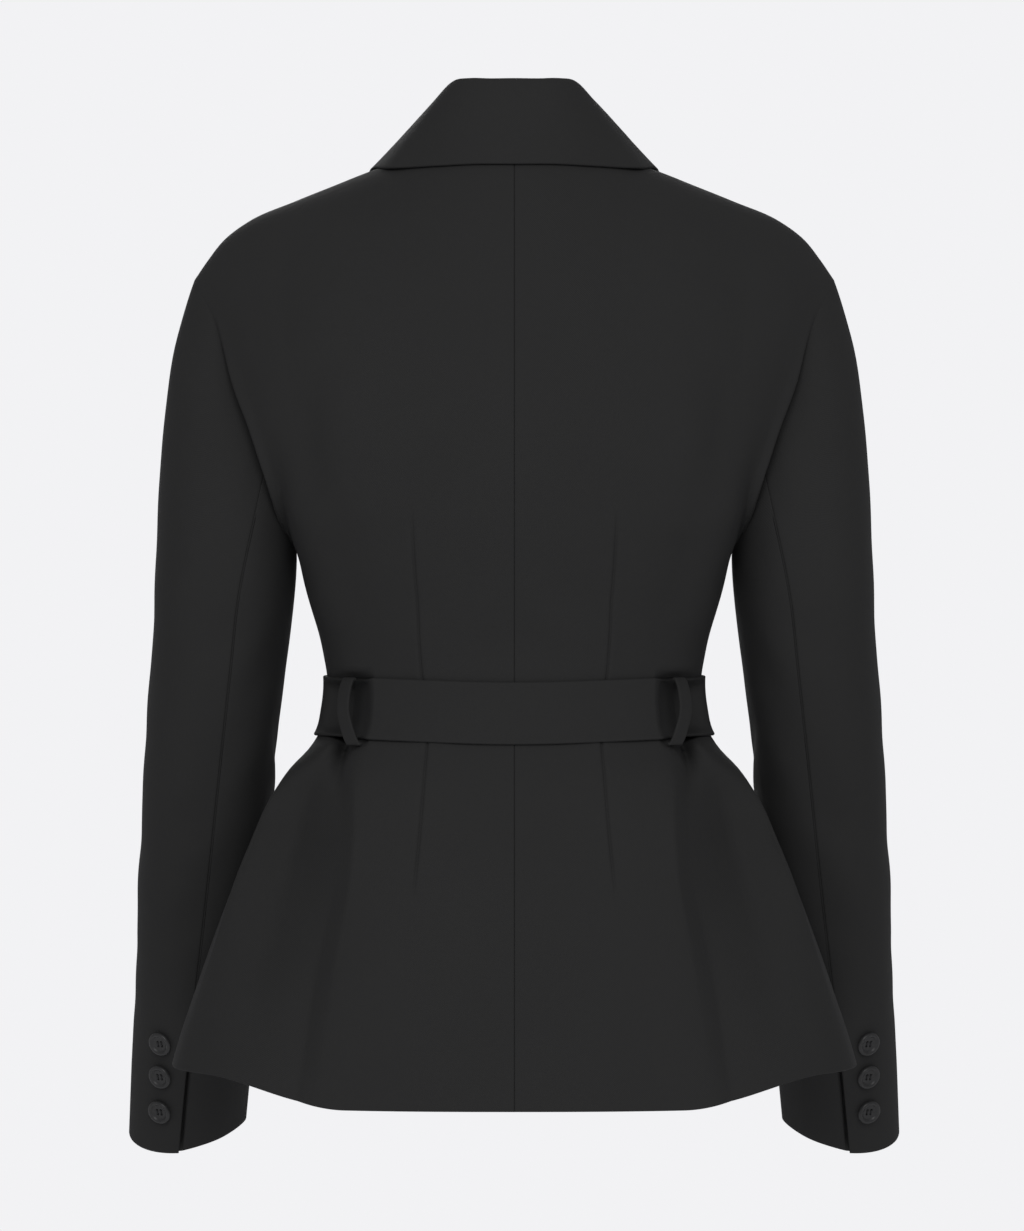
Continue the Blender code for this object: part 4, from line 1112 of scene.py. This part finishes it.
def armhole_facing(angles):
    """Directions through the body and through the sleeve along the armhole, by angle round the arm."""
    side = np.full_like(angles, SIDE)
    on_back = normals(back, side, 1 + (180 - np.minimum(angles, 180)) / 180)
    on_front = normals(front, np.zeros_like(angles), 1 + (np.maximum(angles, 180) - 180) / 180)
    of_body = np.where((angles <= 180)[:, None], on_back, on_front)
    of_sleeve = normals(sleeve, angles, np.full_like(angles, 2 * STEP))
    return shared_facing(of_body, of_sleeve), shared_facing(of_sleeve, of_body)


def body_rows():
    """Height shares of the rows of a body panel, from the hem to the shoulder."""
    return places((0, 1, 2), BODY_CELLS)


def back_grid():
    """Points and directions of the left back. Its columns are drawn together along the dart."""
    by_dart = DART_COLUMN + np.concatenate([-BY_DART[::-1], [0.0], BY_DART])
    columns = np.concatenate([
        places((0, by_dart[0]), BACK_MIDDLE_CELLS), by_dart[1:-1],
        places((by_dart[-1], *BACK_STOPS), BACK_CELLS),
    ])
    column, up = np.meshgrid(columns, body_rows())
    drawn = spline(DART[:, 0], DART[:, 1], up) - DART_COLUMN
    turn = column + drawn * bell((column - DART_COLUMN) / DART_DRAW)
    turn = np.where(column == columns[0], 0, np.where(column == columns[-1], SIDE, turn))
    points = back(turn, up)
    facing = normals(back, turn, up)

    calm = ease(turn / BACK_STILL[0]) * ease((SIDE - turn) / BACK_STILL[1]) * fade(up, *TOP_STILL)
    relief = ripple(points) * calm + creases(back, points, BACK_CREASES) + dart_groove(turn, up)
    points = points + relief[..., None] * facing
    points[..., 1] += flatter(turn, up) - ditch_on_back(turn, up)
    points += lip(turn, up)[..., None] * LIP_WAY
    rows = np.flatnonzero(up[:, 0] > TAUT_UP)
    part = np.flatnonzero((columns > TAUT[0]) & (columns < TAUT[1]))
    depth = np.ix_(rows, part, [1])
    points[depth] = taut(columns[part], points[depth][..., 0])[..., None]

    rim, _ = armhole_facing(arm_angle(up[:, 0], -1))
    near = fade(SIDE - turn, 0, SHARED_BACK) * ease((up - SHARED_UP[0]) / SHARED_UP[1])
    facing = unit(mix(facing, rim[:, None], near[..., None]))
    top = np.full_like(columns, 2 - STEP)
    share = (np.clip(columns / SIDE, NECK_SHARE, 1) - NECK_SHARE) / (1 - NECK_SHARE)
    seam = shared_facing(normals(back, columns, top), normals(front, 1 - share, top))
    near = fade(2 - up, 0, SHARED_TOP) * (turn / SIDE >= NECK_SHARE)
    facing = mix(facing, seam[None], near[..., None])
    facing[:, 0, 0] = 0
    return points, unit(facing)


def front_grid(front_of):
    """Points and directions of a front, drawn as the left one."""
    columns = np.linspace(0, 1, FRONT_CELLS + 1)
    across, up = np.meshgrid(columns, body_rows())
    points = front_of(across, up)
    facing = normals(front_of, across, up)
    calm = ease((1 - across) / FRONT_STILL[0]) * ease(across / FRONT_STILL[1]) * fade(up, *TOP_STILL)
    relief = ripple(points) * calm + creases(front_of, points, FRONT_CREASES)
    points = points + relief[..., None] * facing
    rim, _ = armhole_facing(arm_angle(up[:, 0], 1))
    near = fade(across, 0, SHARED_FRONT) * ease((up - SHARED_UP[0]) / SHARED_UP[1])
    facing = unit(mix(facing, rim[:, None], near[..., None]))
    top = np.full_like(columns, 2 - STEP)
    turns = SIDE * mix(1.0, NECK_SHARE, columns)
    seam = shared_facing(normals(back, turns, top), normals(front, columns, top))
    near = fade(2 - up, 0, SHARED_TOP)
    return points, unit(mix(facing, seam[None], near[..., None]))


def sleeve_grid(surface, columns, underlap):
    """Points and directions of one panel of the left sleeve between two seams. Along the cuff vent it may
    reach some degrees past the first seam, below the other panel, with a groove along that panel's edge."""
    vent = 1 + VENT_FROM
    angle, down = np.meshgrid(columns, places((0, 1, vent, vent + VENT_RAMP, 2), SLEEVE_CELLS))
    reach = underlap * ease((down - 1 - VENT_FROM - VENT_RAMP) / VENT_RAMP)
    angle = angle - reach * fade(angle, columns[0], VENT_UNDERLAP_SPREAD)
    points = surface(angle, down)
    facing = normals(surface, angle, down)
    relief = ripple(points) * ease(down / HEAD_STILL) * fade(down, *CUFF_STILL)
    relief = relief + creases(surface, points, SLEEVE_CREASES)
    if underlap:
        groove = bell((angle - HIND_SEAM - VENT_GROOVE_AT) / VENT_GROOVE_SPREAD)
        relief = relief - VENT_GROOVE * groove * reach / underlap * ease((2 - down) / VENT_GROOVE_END)
    points = points + relief[..., None] * facing
    points[..., 1] -= ditch_on_sleeve(angle, down)
    _, rim = armhole_facing(columns % 360)
    return points, unit(mix(facing, rim[None], fade(down, 0, SHARED_SLEEVE)[..., None]))


def collar_grid():
    """Points and directions of the whole collar, from the right front edge round the neck to the left one.
    Both halves are worked out at a few places of the length and a spline runs through them."""
    shares = places((0, COLLAR_NECK, 1), COLLAR_KNOTS)
    fall = np.concatenate([FALL_TURN, np.linspace(FALL_FLAT, 1, FALL_ROWS)])
    sections = np.concatenate([FALL_FOLD * np.linspace(0, 1, STAND_ROWS), mix(FALL_FOLD, 1.0, fall)])
    share, section = np.meshgrid(shares, sections)
    left_ends = edge_place(LEFT_COLLAR_SEAM_END), edge_place(LEFT_COLLAR_EDGE_END)
    left = collar(front, share, section, *left_ends)
    right = collar(lapped_front, share, section, 1.0, 1.0) * (-1, 1, 1)
    knots = np.concatenate([-shares[:0:-1], shares])
    rows = np.concatenate([right[:, :0:-1], left], axis=1)
    rows[:, len(shares) - 1, 0] = 0
    columns = places((-1, -COLLAR_NECK, COLLAR_NECK, 1), COLLAR_CELLS)
    points = np.moveaxis(spline(knots, np.moveaxis(rows, 1, 0), columns), 0, 1)
    return points, grid_normals(points)


def belt_grid():
    """Points and directions of the inner side of the belt."""
    low, high = BELT_FINE
    columns = places((BELT_END, -high, -low, low, high, BELT_START), BELT_CELLS)
    turn, height = np.meshgrid(columns, np.linspace(BELT_BOTTOM, BELT_TOP, BELT_ROWS))
    return belt(turn, height), normals(belt, turn, height)


def loop_grid():
    """Points and directions of the inner side of the left loop: a flat strip carried along a bowed path."""
    length = running_length(LOOP[:, :2])
    level, out, centre = spline(length, LOOP, np.linspace(0, length[-1], LOOP_ROWS)).T
    level, out, centre = level * MM, out * MM, np.radians(centre)
    facing = normals(smooth_waist, centre, level)
    facing[:, 2] = 0
    facing = unit(facing)
    middle = smooth_waist(centre, level) + out[:, None] * facing
    slope = unit(np.gradient(middle, axis=0))
    sideways = np.stack([facing[:, 1], -facing[:, 0], facing[:, 2]], axis=-1)
    through = unit(np.cross(slope, sideways))
    across = np.linspace(-0.5, 0.5, LOOP_COLUMNS) * bpy.context.scene.jacket_sizes.loop_width
    points = middle[:, None] + sideways[:, None] * across[None, :, None]
    return points, np.broadcast_to(through[:, None], points.shape).copy()


def button_seat(place, angle):
    """Seat of a cuff button on the left sleeve: point, axis and two directions square to it."""
    angle = np.array(angle)
    down = np.array(1 + place)
    axis = normals(sleeve, angle, down)
    seat = sleeve(angle, down) + LAY * axis
    side = unit(np.cross(axis, np.array((0.0, 0.0, 1.0))))
    return seat, axis, side, np.cross(axis, side)


def button_mesh(place, angle):
    """Points and faces of a cuff button: its profile turned about its axis, with four pits for the thread,
    each a smooth step of the distance from its centre."""
    radius = bpy.context.scene.jacket_sizes.button_radius
    seat, axis, side, other = button_seat(place, angle)
    lengths = running_length(BUTTON_PROFILE)
    outside = np.linspace(lengths[1], lengths[-2], BUTTON_RINGS)
    dish = np.linspace(lengths[-2], lengths[-1], DISH_RINGS)[1:-1]
    reach, height = spline(lengths, BUTTON_PROFILE, np.concatenate([outside, dish])).T
    around = np.linspace(0, 2 * math.pi, BUTTON_SIDES, endpoint=False)
    across = reach[:, None] * np.cos(around)
    along = reach[:, None] * np.sin(around)
    from_hole = np.hypot(np.abs(across) - HOLE_PLACE, np.abs(along) - HOLE_PLACE)
    pit = HOLE_DEPTH * fade(from_hole / HOLE_RADIUS, *HOLE_WALL)
    on_top = np.arange(len(reach)) >= len(outside) - 1
    level = height[:, None] - np.where(on_top[:, None], pit, 0)
    rings = seat + radius * (across[..., None] * side + along[..., None] * other + level[..., None] * axis)
    top = seat + radius * BUTTON_PROFILE[-1, 1] * axis
    points = np.vstack([seat, rings.reshape(-1, 3), top])
    number, ahead, wall = tube(1, len(reach), BUTTON_SIDES)
    bottom = faces_of(np.zeros_like(number[0]), ahead[0], number[0])
    middle = faces_of(number[-1], ahead[-1], np.full_like(number[0], len(points) - 1))
    return points, [*bottom.tolist(), *wall.tolist(), *middle.tolist()]


def thread_mesh(place, angle):
    """Points and faces of the thread on a button: round strands carried along low arcs from hole to hole."""
    sizes = bpy.context.scene.jacket_sizes
    seat, axis, side, other = button_seat(place, angle)
    along = np.linspace(-1, 1, STRAND_POINTS)
    hole = HOLE_PLACE * sizes.button_radius
    floor = (BUTTON_PROFILE[-1, 1] - HOLE_DEPTH) * sizes.button_radius
    crest = BUTTON_PROFILE[-1, 1] * sizes.button_radius + STRAND_LIFT * sizes.thread
    height = mix(floor, crest, ease((1 - np.abs(along) ** 3) * STRAND_FLAT))
    around = np.linspace(0, 2 * math.pi, STRAND_SIDES, endpoint=False)[:, None]
    sideways = np.array((1.0, 0.0, 0.0))
    points = []
    faces = []
    for row, lean, apart in STRANDS:
        across = row * hole + (apart + lean * along) * sizes.thread
        line = np.stack([across, along * hole, height], axis=-1)
        upward = unit(np.cross(unit(np.gradient(line, axis=0)), sideways))
        ringed = line[:, None] + sizes.thread * (np.cos(around) * sideways + np.sin(around) * upward[:, None])
        number, _, wall = tube(len(points) * STRAND_POINTS * STRAND_SIDES, STRAND_POINTS, STRAND_SIDES)
        points.append(seat + ringed.reshape(-1, 3) @ np.stack([side, other, axis]))
        faces += wall.tolist() + [number[0, ::-1].tolist(), number[-1].tolist()]
    return np.vstack(points), faces


def node_group(name, inputs, outputs):
    """Empty shader node group with named sockets, and its two end nodes."""
    group = bpy.data.node_groups.new(name, "ShaderNodeTree")
    for label, kind, value in inputs:
        socket = group.interface.new_socket(label, in_out="INPUT", socket_type=kind)
        if value is not None:
            socket.default_value = value
    for label, kind in outputs:
        group.interface.new_socket(label, in_out="OUTPUT", socket_type=kind)
    return group, group.nodes.new("NodeGroupInput"), group.nodes.new("NodeGroupOutput")


def calculate(tree, operation, first, second=None, third=None):
    """Math node whose inputs are sockets or numbers."""
    node = tree.nodes.new("ShaderNodeMath")
    node.operation = operation
    for socket, value in zip(node.inputs, (first, second, third)):
        if hasattr(value, "is_output"):
            tree.links.new(value, socket)
        elif value is not None:
            socket.default_value = value
    return node.outputs[0]


def between(tree, value, low, high):
    """Value from 0 to 1 brought to a range."""
    return calculate(tree, "MULTIPLY_ADD", value, high - low, low)


def fill_in(tree, node, values):
    """Node whose named inputs are set to numbers or colours, or linked to sockets."""
    for label, value in values.items():
        if hasattr(value, "is_output"):
            tree.links.new(value, node.inputs[label])
        else:
            node.inputs[label].default_value = value
    return node


def noise(tree, vector, scale, detail, roughness):
    """Noise texture at a place, as a value from 0 to 1."""
    node = tree.nodes.new("ShaderNodeTexNoise")
    values = {"Vector": vector, "Scale": scale, "Detail": detail, "Roughness": roughness}
    return fill_in(tree, node, values).outputs[0]


def twill_group():
    """Twill weave on flat coordinates in metres: slanting ribs, broken by yarns and by uneven spinning. Its
    shade is painted shade, darker where the relief is low.
    """
    name = "Twill weave"
    if name in bpy.data.node_groups:
        return bpy.data.node_groups[name]
    kind = "NodeSocketFloat"
    group, start, end = node_group(
        name,
        [("Flat", "NodeSocketVector", None), ("Rib", kind, 0.9 * MM), ("Uneven", kind, 0.5)],
        [("Relief", kind), ("Shade", kind)],
    )
    flat, rib_width, uneven = (start.outputs[label] for label in ("Flat", "Rib", "Uneven"))
    place = group.nodes.new("ShaderNodeSeparateXYZ")
    group.links.new(flat, place.inputs[0])
    spun = noise(group, flat, scale=900.0, detail=2.0, roughness=0.6)
    drift = calculate(group, "MULTIPLY", calculate(group, "SUBTRACT", spun, 0.5), uneven)
    across = calculate(group, "DIVIDE", place.outputs["X"], rib_width)
    along = calculate(group, "DIVIDE", place.outputs["Y"], rib_width)
    slant = calculate(group, "ADD", across, calculate(group, "MULTIPLY", along, TWILL_SLANT))
    rib_turn = calculate(group, "MULTIPLY", calculate(group, "ADD", slant, drift), 2 * math.pi)
    yarn_turn = calculate(group, "MULTIPLY", calculate(group, "ADD", along, drift), 2 * math.pi * RIB_YARNS)
    relief = calculate(group, "MULTIPLY_ADD", calculate(group, "SINE", rib_turn), RIB_SHARE, 0.5)
    relief = calculate(group, "MULTIPLY_ADD", calculate(group, "SINE", yarn_turn), YARN_SHARE, relief)
    relief = calculate(group, "SUBTRACT", relief, SPUN_SHARE / 2)
    relief = calculate(group, "MULTIPLY_ADD", spun, SPUN_SHARE, relief)
    # The Shade output is painted shade: the weave's colour darkens where its relief is low
    fill_in(group, end, {"Relief": relief, "Shade": between(group, relief, *TWILL_PAINTED_SHADE)})
    return group


def mottle_group():
    """Slow mottling of a dyed or polished surface on object coordinates: two noises as a shade near 1."""
    name = "Mottle"
    if name in bpy.data.node_groups:
        return bpy.data.node_groups[name]
    group, start, end = node_group(
        name,
        [("Place", "NodeSocketVector", None), ("Strength", "NodeSocketFloat", 0.1)],
        [("Shade", "NodeSocketFloat"), ("Grain", "NodeSocketFloat")],
    )
    slow = noise(group, start.outputs["Place"], scale=14.0, detail=3.0, roughness=0.55)
    quick = noise(group, start.outputs["Place"], scale=260.0, detail=3.0, roughness=0.6)
    both = calculate(group, "MULTIPLY", slow, 1 - QUICK_SHARE)
    both = calculate(group, "MULTIPLY_ADD", quick, QUICK_SHARE, both)
    swing = calculate(group, "MULTIPLY", calculate(group, "SUBTRACT", both, 0.5), start.outputs["Strength"])
    fill_in(group, end, {"Shade": calculate(group, "MULTIPLY_ADD", swing, 2.0, 1.0), "Grain": quick})
    return group


def material_of(name):
    """New node material, its tree, its shader and the place on the object."""
    material = bpy.data.materials.new(name)
    material.use_nodes = True
    tree = material.node_tree
    place = tree.nodes.new("ShaderNodeTexCoord").outputs["Object"]
    return material, tree, tree.nodes["Principled BSDF"], place


def place_group(tree, group, **values):
    """Group node in a material, with its inputs set or linked."""
    node = tree.nodes.new("ShaderNodeGroup")
    node.node_tree = group
    return fill_in(tree, node, values)


def shaded(tree, colour, shades):
    """Colour times one or more shades."""
    shade = shades[0]
    for other in shades[1:]:
        shade = calculate(tree, "MULTIPLY", shade, other)
    node = tree.nodes.new("ShaderNodeVectorMath")
    node.operation = "SCALE"
    node.inputs[0].default_value = tuple(colour)
    tree.links.new(shade, node.inputs["Scale"])
    return node.outputs[0]


def bump(tree, height, distance, strength):
    """Bump node over a height."""
    node = tree.nodes.new("ShaderNodeBump")
    values = {"Height": height, "Distance": distance, "Strength": strength}
    return fill_in(tree, node, values).outputs["Normal"]


def wool_cloth():
    """Matt black wool cloth: twill ribs with painted shade in their grooves, slow mottling of the dye and a
    short fuzz.
    """
    name = "wool_cloth"
    if name in bpy.data.materials:
        return bpy.data.materials[name]
    finish = bpy.context.scene.jacket_finish
    material, tree, shader, place = material_of(name)
    flat = tree.nodes.new("ShaderNodeUVMap")
    flat.uv_map = "cloth"
    weave = place_group(tree, twill_group(), Rib=finish.weave, Uneven=0.5, Flat=flat.outputs["UV"])
    mottle = place_group(tree, mottle_group(), Strength=0.16, Place=place)
    height = calculate(tree, "MULTIPLY_ADD", mottle.outputs["Grain"], GRAIN_SHARE, weave.outputs["Relief"])
    fill_in(tree, shader, {
        # The weave's shade is painted shade in its grooves; the mottle's shade is random tone of the dye
        "Base Color": shaded(tree, finish.wool, [weave.outputs["Shade"], mottle.outputs["Shade"]]),
        "Roughness": calculate(tree, "MULTIPLY", mottle.outputs["Shade"], WOOL_ROUGHNESS),
        "Normal": bump(tree, height, finish.weave_relief, strength=0.6),
        "Specular IOR Level": 0.1,
        "Sheen Weight": finish.fuzz,
        "Sheen Roughness": 0.45,
        "Sheen Tint": (0.6, 0.6, 0.62, 1.0),
    })
    material.diffuse_color = (*finish.wool, 1.0)
    return material


def horn_button():
    """Dark satin horn: cloudy streaks, a soft polish and fine turning marks."""
    name = "horn_button"
    if name in bpy.data.materials:
        return bpy.data.materials[name]
    finish = bpy.context.scene.jacket_finish
    material, tree, shader, place = material_of(name)
    mottle = place_group(tree, mottle_group(), Strength=0.5, Place=place)
    streak = noise(tree, place, scale=420.0, detail=4.0, roughness=0.65)
    shades = [between(tree, streak, 0.42, 0.72), mottle.outputs["Shade"]]
    fill_in(tree, shader, {
        "Base Color": shaded(tree, finish.horn, shades),
        "Roughness": between(tree, streak, 0.27, 0.47),
        "Normal": bump(tree, mottle.outputs["Grain"], 0.05 * MM, strength=0.3),
        "Specular IOR Level": 0.22,
    })
    material.diffuse_color = (*finish.horn, 1.0)
    return material


def sewing_thread():
    """Matt black sewing thread with a fine twist."""
    name = "sewing_thread"
    if name in bpy.data.materials:
        return bpy.data.materials[name]
    finish = bpy.context.scene.jacket_finish
    material, tree, shader, place = material_of(name)
    mottle = place_group(tree, mottle_group(), Strength=0.3, Place=place)
    twist = noise(tree, place, scale=2600.0, detail=2.0, roughness=0.6)
    shades = [between(tree, twist, 0.6, 1.4), mottle.outputs["Shade"]]
    fill_in(tree, shader, {
        "Base Color": shaded(tree, finish.thread, shades),
        "Roughness": 0.75,
        "Normal": bump(tree, twist, 0.1 * MM, strength=0.6),
        "Specular IOR Level": 0.3,
    })
    material.diffuse_color = (*finish.thread, 1.0)
    return material


class JACKET_OT_backs(bpy.types.Operator):
    """Left and right back with their darts and the folds below the belt"""

    bl_idname = "jacket.backs"
    bl_label = "Backs"

    def execute(self, context):
        sizes = context.scene.jacket_sizes
        points, facing = back_grid()
        hole = sizes.seam_round * armhole_round(arm_angle(body_rows(), -1))
        radii = (sizes.edge_round, sizes.seam_round, sizes.seam_round, hole)
        for side, mirror in SIDES:
            sew(f"back_{side}", points, facing, radii, sizes.cloth, mirror=mirror)
        return {"FINISHED"}


class JACKET_OT_fronts(bpy.types.Operator):
    """Left and right front, the right one lapped over the left"""

    bl_idname = "jacket.fronts"
    bl_label = "Fronts"

    def execute(self, context):
        sizes = context.scene.jacket_sizes
        hole = sizes.seam_round * armhole_round(arm_angle(body_rows(), 1))
        radii = (sizes.edge_round, sizes.seam_round, hole, sizes.edge_round)
        for (side, mirror), front_of in zip(SIDES, (front, lapped_front)):
            points, facing = front_grid(front_of)
            sew(f"front_{side}", points, facing, radii, sizes.cloth, mirror=mirror)
        return {"FINISHED"}


class JACKET_OT_sleeves(bpy.types.Operator):
    """Two-piece sleeves, with the top sleeve lapped over the under sleeve at the cuff vent"""

    bl_idname = "jacket.sleeves"
    bl_label = "Sleeves"

    def execute(self, context):
        sizes = context.scene.jacket_sizes
        top = places((FORE_SEAM - 360, HIND_SEAM), TOP_SLEEVE_CELLS)
        under = places((HIND_SEAM, HIND_SEAM + UNDER_SLEEVE_FINE, FORE_SEAM), UNDER_SLEEVE_CELLS)
        seam = SLEEVE_ROUND * sizes.seam_round
        for kind, surface, columns, underlap in (
                ("top", sleeve, top, 0), ("under", under_sleeve, under, VENT_UNDERLAP)):
            points, facing = sleeve_grid(surface, columns, underlap)
            head = sizes.seam_round * armhole_round(columns)
            radii = (head, sizes.edge_round, seam, seam)
            for side, mirror in SIDES:
                sew(f"sleeve_{kind}_{side}", points, facing, radii, sizes.cloth, mirror=mirror)
        return {"FINISHED"}


class JACKET_OT_collar(bpy.types.Operator):
    """Collar in one strip, standing at the neck and turned down into lapels"""

    bl_idname = "jacket.collar"
    bl_label = "Collar"

    def execute(self, context):
        sizes = context.scene.jacket_sizes
        points, facing = collar_grid()
        radii = (sizes.seam_round, sizes.edge_round, sizes.edge_round, sizes.edge_round)
        sew("collar", points, facing, radii, sizes.cloth)
        return {"FINISHED"}


class JACKET_OT_belt(bpy.types.Operator):
    """Belt round the waist, with its ends lapped in front"""

    bl_idname = "jacket.belt"
    bl_label = "Belt"

    def execute(self, context):
        sizes = context.scene.jacket_sizes
        points, facing = belt_grid()
        radii = (sizes.edge_round,) * 4
        sew("belt", points, facing, radii, sizes.belt_cloth, raised=True)
        return {"FINISHED"}


class JACKET_OT_loops(bpy.types.Operator):
    """Two loops that hold the belt at the back"""

    bl_idname = "jacket.loops"
    bl_label = "Belt loops"

    def execute(self, context):
        sizes = context.scene.jacket_sizes
        points, facing = loop_grid()
        radii = (LOOP_ROUND * sizes.loop_cloth,) * 4
        for side, mirror in SIDES:
            sew(f"belt_loop_{side}", points, facing, radii, sizes.loop_cloth,
                mirror=mirror, raised=True)
        return {"FINISHED"}


class JACKET_OT_buttons(bpy.types.Operator):
    """Three buttons on each cuff, with their thread"""

    bl_idname = "jacket.buttons"
    bl_label = "Cuff buttons"

    def execute(self, context):
        kinds = (("horn", button_mesh, horn_button), ("thread", thread_mesh, sewing_thread))
        for count, seat in enumerate(BUTTONS, start=1):
            for kind, shape, finish in kinds:
                points, faces = shape(*seat)
                for side, mirror in SIDES:
                    shown = points * (-1, 1, 1) if mirror else points
                    turned = [face[::-1] for face in faces] if mirror else faces
                    node = f"button_{side}_{count}"
                    piece = put(f"{node}_{kind}", shown, turned, finish())
                    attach(piece, "root")
                    if kind == "horn":
                        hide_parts(node)
        return {"FINISHED"}


class JACKET_OT_stage(bpy.types.Operator):
    """Pale floor, soft studio light and the camera"""

    bl_idname = "jacket.stage"
    bl_label = "Stage"

    def execute(self, context):
        stage = context.scene.jacket_stage
        self.lay_floor(stage)
        self.surround(context.scene, stage)
        self.light("key_light", KEY_PLACE, stage.key)
        self.light("front_light", FRONT_PLACE, stage.front)
        self.camera(context.scene, stage)
        return {"FINISHED"}

    def lay_floor(self, stage):
        """Round floor: rings of growing radius, closed at the middle, with their faces turned up."""
        around = np.linspace(0, 2 * math.pi, FLOOR_SIDES, endpoint=False)
        radius = stage.floor_radius * np.array(FLOOR_RINGS)
        level = np.full((len(radius), FLOOR_SIDES), stage.floor_level)
        rings = np.stack([np.outer(radius, np.cos(around)), np.outer(radius, np.sin(around)), level], axis=-1)
        points = np.vstack([(0, 0, stage.floor_level), rings.reshape(-1, 3)])
        number, ahead, wall = tube(1, len(radius), FLOOR_SIDES)
        middle = faces_of(np.zeros_like(number[0]), number[0], ahead[0])
        quads = wall[:, ::-1]
        material, tree, shader, place = material_of("pale_floor")
        mottle = place_group(tree, mottle_group(), Strength=0.02, Place=place)
        fill_in(tree, shader, {
            "Base Color": shaded(tree, stage.floor, [mottle.outputs["Shade"]]),
            "Roughness": 0.9,
            "Specular IOR Level": 0.1,
        })
        put("floor", points, [*middle.tolist(), *quads.tolist()], material)

    def surround(self, scene, stage):
        """Even pale studio all round, which gives a weaker fill than it shows."""
        world = bpy.data.worlds.new("studio")
        world.use_nodes = True
        tree = world.node_tree
        shown = tree.nodes.new("ShaderNodeLightPath").outputs["Is Camera Ray"]
        strength = between(tree, shown, stage.fill, 1.0)
        fill_in(tree, tree.nodes["Background"], {"Color": (*stage.surround, 1.0), "Strength": strength})
        scene.world = world
        scene.view_settings.view_transform = "Standard"

    def light(self, name, place, power):
        """Square area light turned to the middle of the jacket."""
        data = bpy.data.lights.new(name, "AREA")
        data.size = LIGHT_SIZE
        data.energy = power
        lamp = bpy.data.objects.new(name, data)
        lamp.location = place
        middle = (Vector(CAD_BOX[0]) + Vector(CAD_BOX[1])) / 2
        lamp.rotation_euler = (middle - lamp.location).to_track_quat("-Z", "Y").to_euler()
        bpy.context.scene.collection.objects.link(lamp)

    def camera(self, scene, stage):
        """Level camera behind the jacket, looking along -Y."""
        data = bpy.data.cameras.new("camera")
        data.sensor_width = SENSOR
        data.lens = stage.lens
        camera = bpy.data.objects.new("camera", data)
        camera.location = stage.camera_place
        camera.rotation_euler = (math.pi / 2, 0.0, math.pi)
        scene.collection.objects.link(camera)
        scene.camera = camera


class JACKET_PT_pieces(bpy.types.Panel):
    """Pieces of the jacket and its stage"""

    bl_idname = "JACKET_PT_pieces"
    bl_label = "Belted jacket"
    bl_space_type = "VIEW_3D"
    bl_region_type = "UI"
    bl_category = "Jacket"

    def draw(self, context):
        for operator in OPERATORS:
            self.layout.operator(operator.bl_idname)
        for group in (context.scene.jacket_sizes, context.scene.jacket_finish, context.scene.jacket_stage):
            box = self.layout.box()
            for name in group.__annotations__:
                box.prop(group, name)


OPERATORS = (JACKET_OT_stage, JACKET_OT_backs, JACKET_OT_fronts, JACKET_OT_sleeves, JACKET_OT_collar,
             JACKET_OT_belt, JACKET_OT_loops, JACKET_OT_buttons)
CLASSES = (JacketSizes, JacketFinish, JacketStage, *OPERATORS, JACKET_PT_pieces)


def register():
    for thing in CLASSES:
        bpy.utils.register_class(thing)
    bpy.types.Scene.jacket_sizes = PointerProperty(type=JacketSizes)
    bpy.types.Scene.jacket_finish = PointerProperty(type=JacketFinish)
    bpy.types.Scene.jacket_stage = PointerProperty(type=JacketStage)


def unregister():
    del bpy.types.Scene.jacket_stage
    del bpy.types.Scene.jacket_finish
    del bpy.types.Scene.jacket_sizes
    for thing in reversed(CLASSES):
        bpy.utils.unregister_class(thing)


def main():
    register()
    for operator in OPERATORS:
        group, name = operator.bl_idname.split(".")
        getattr(getattr(bpy.ops, group), name)()


if __name__ == "__main__":
    main()
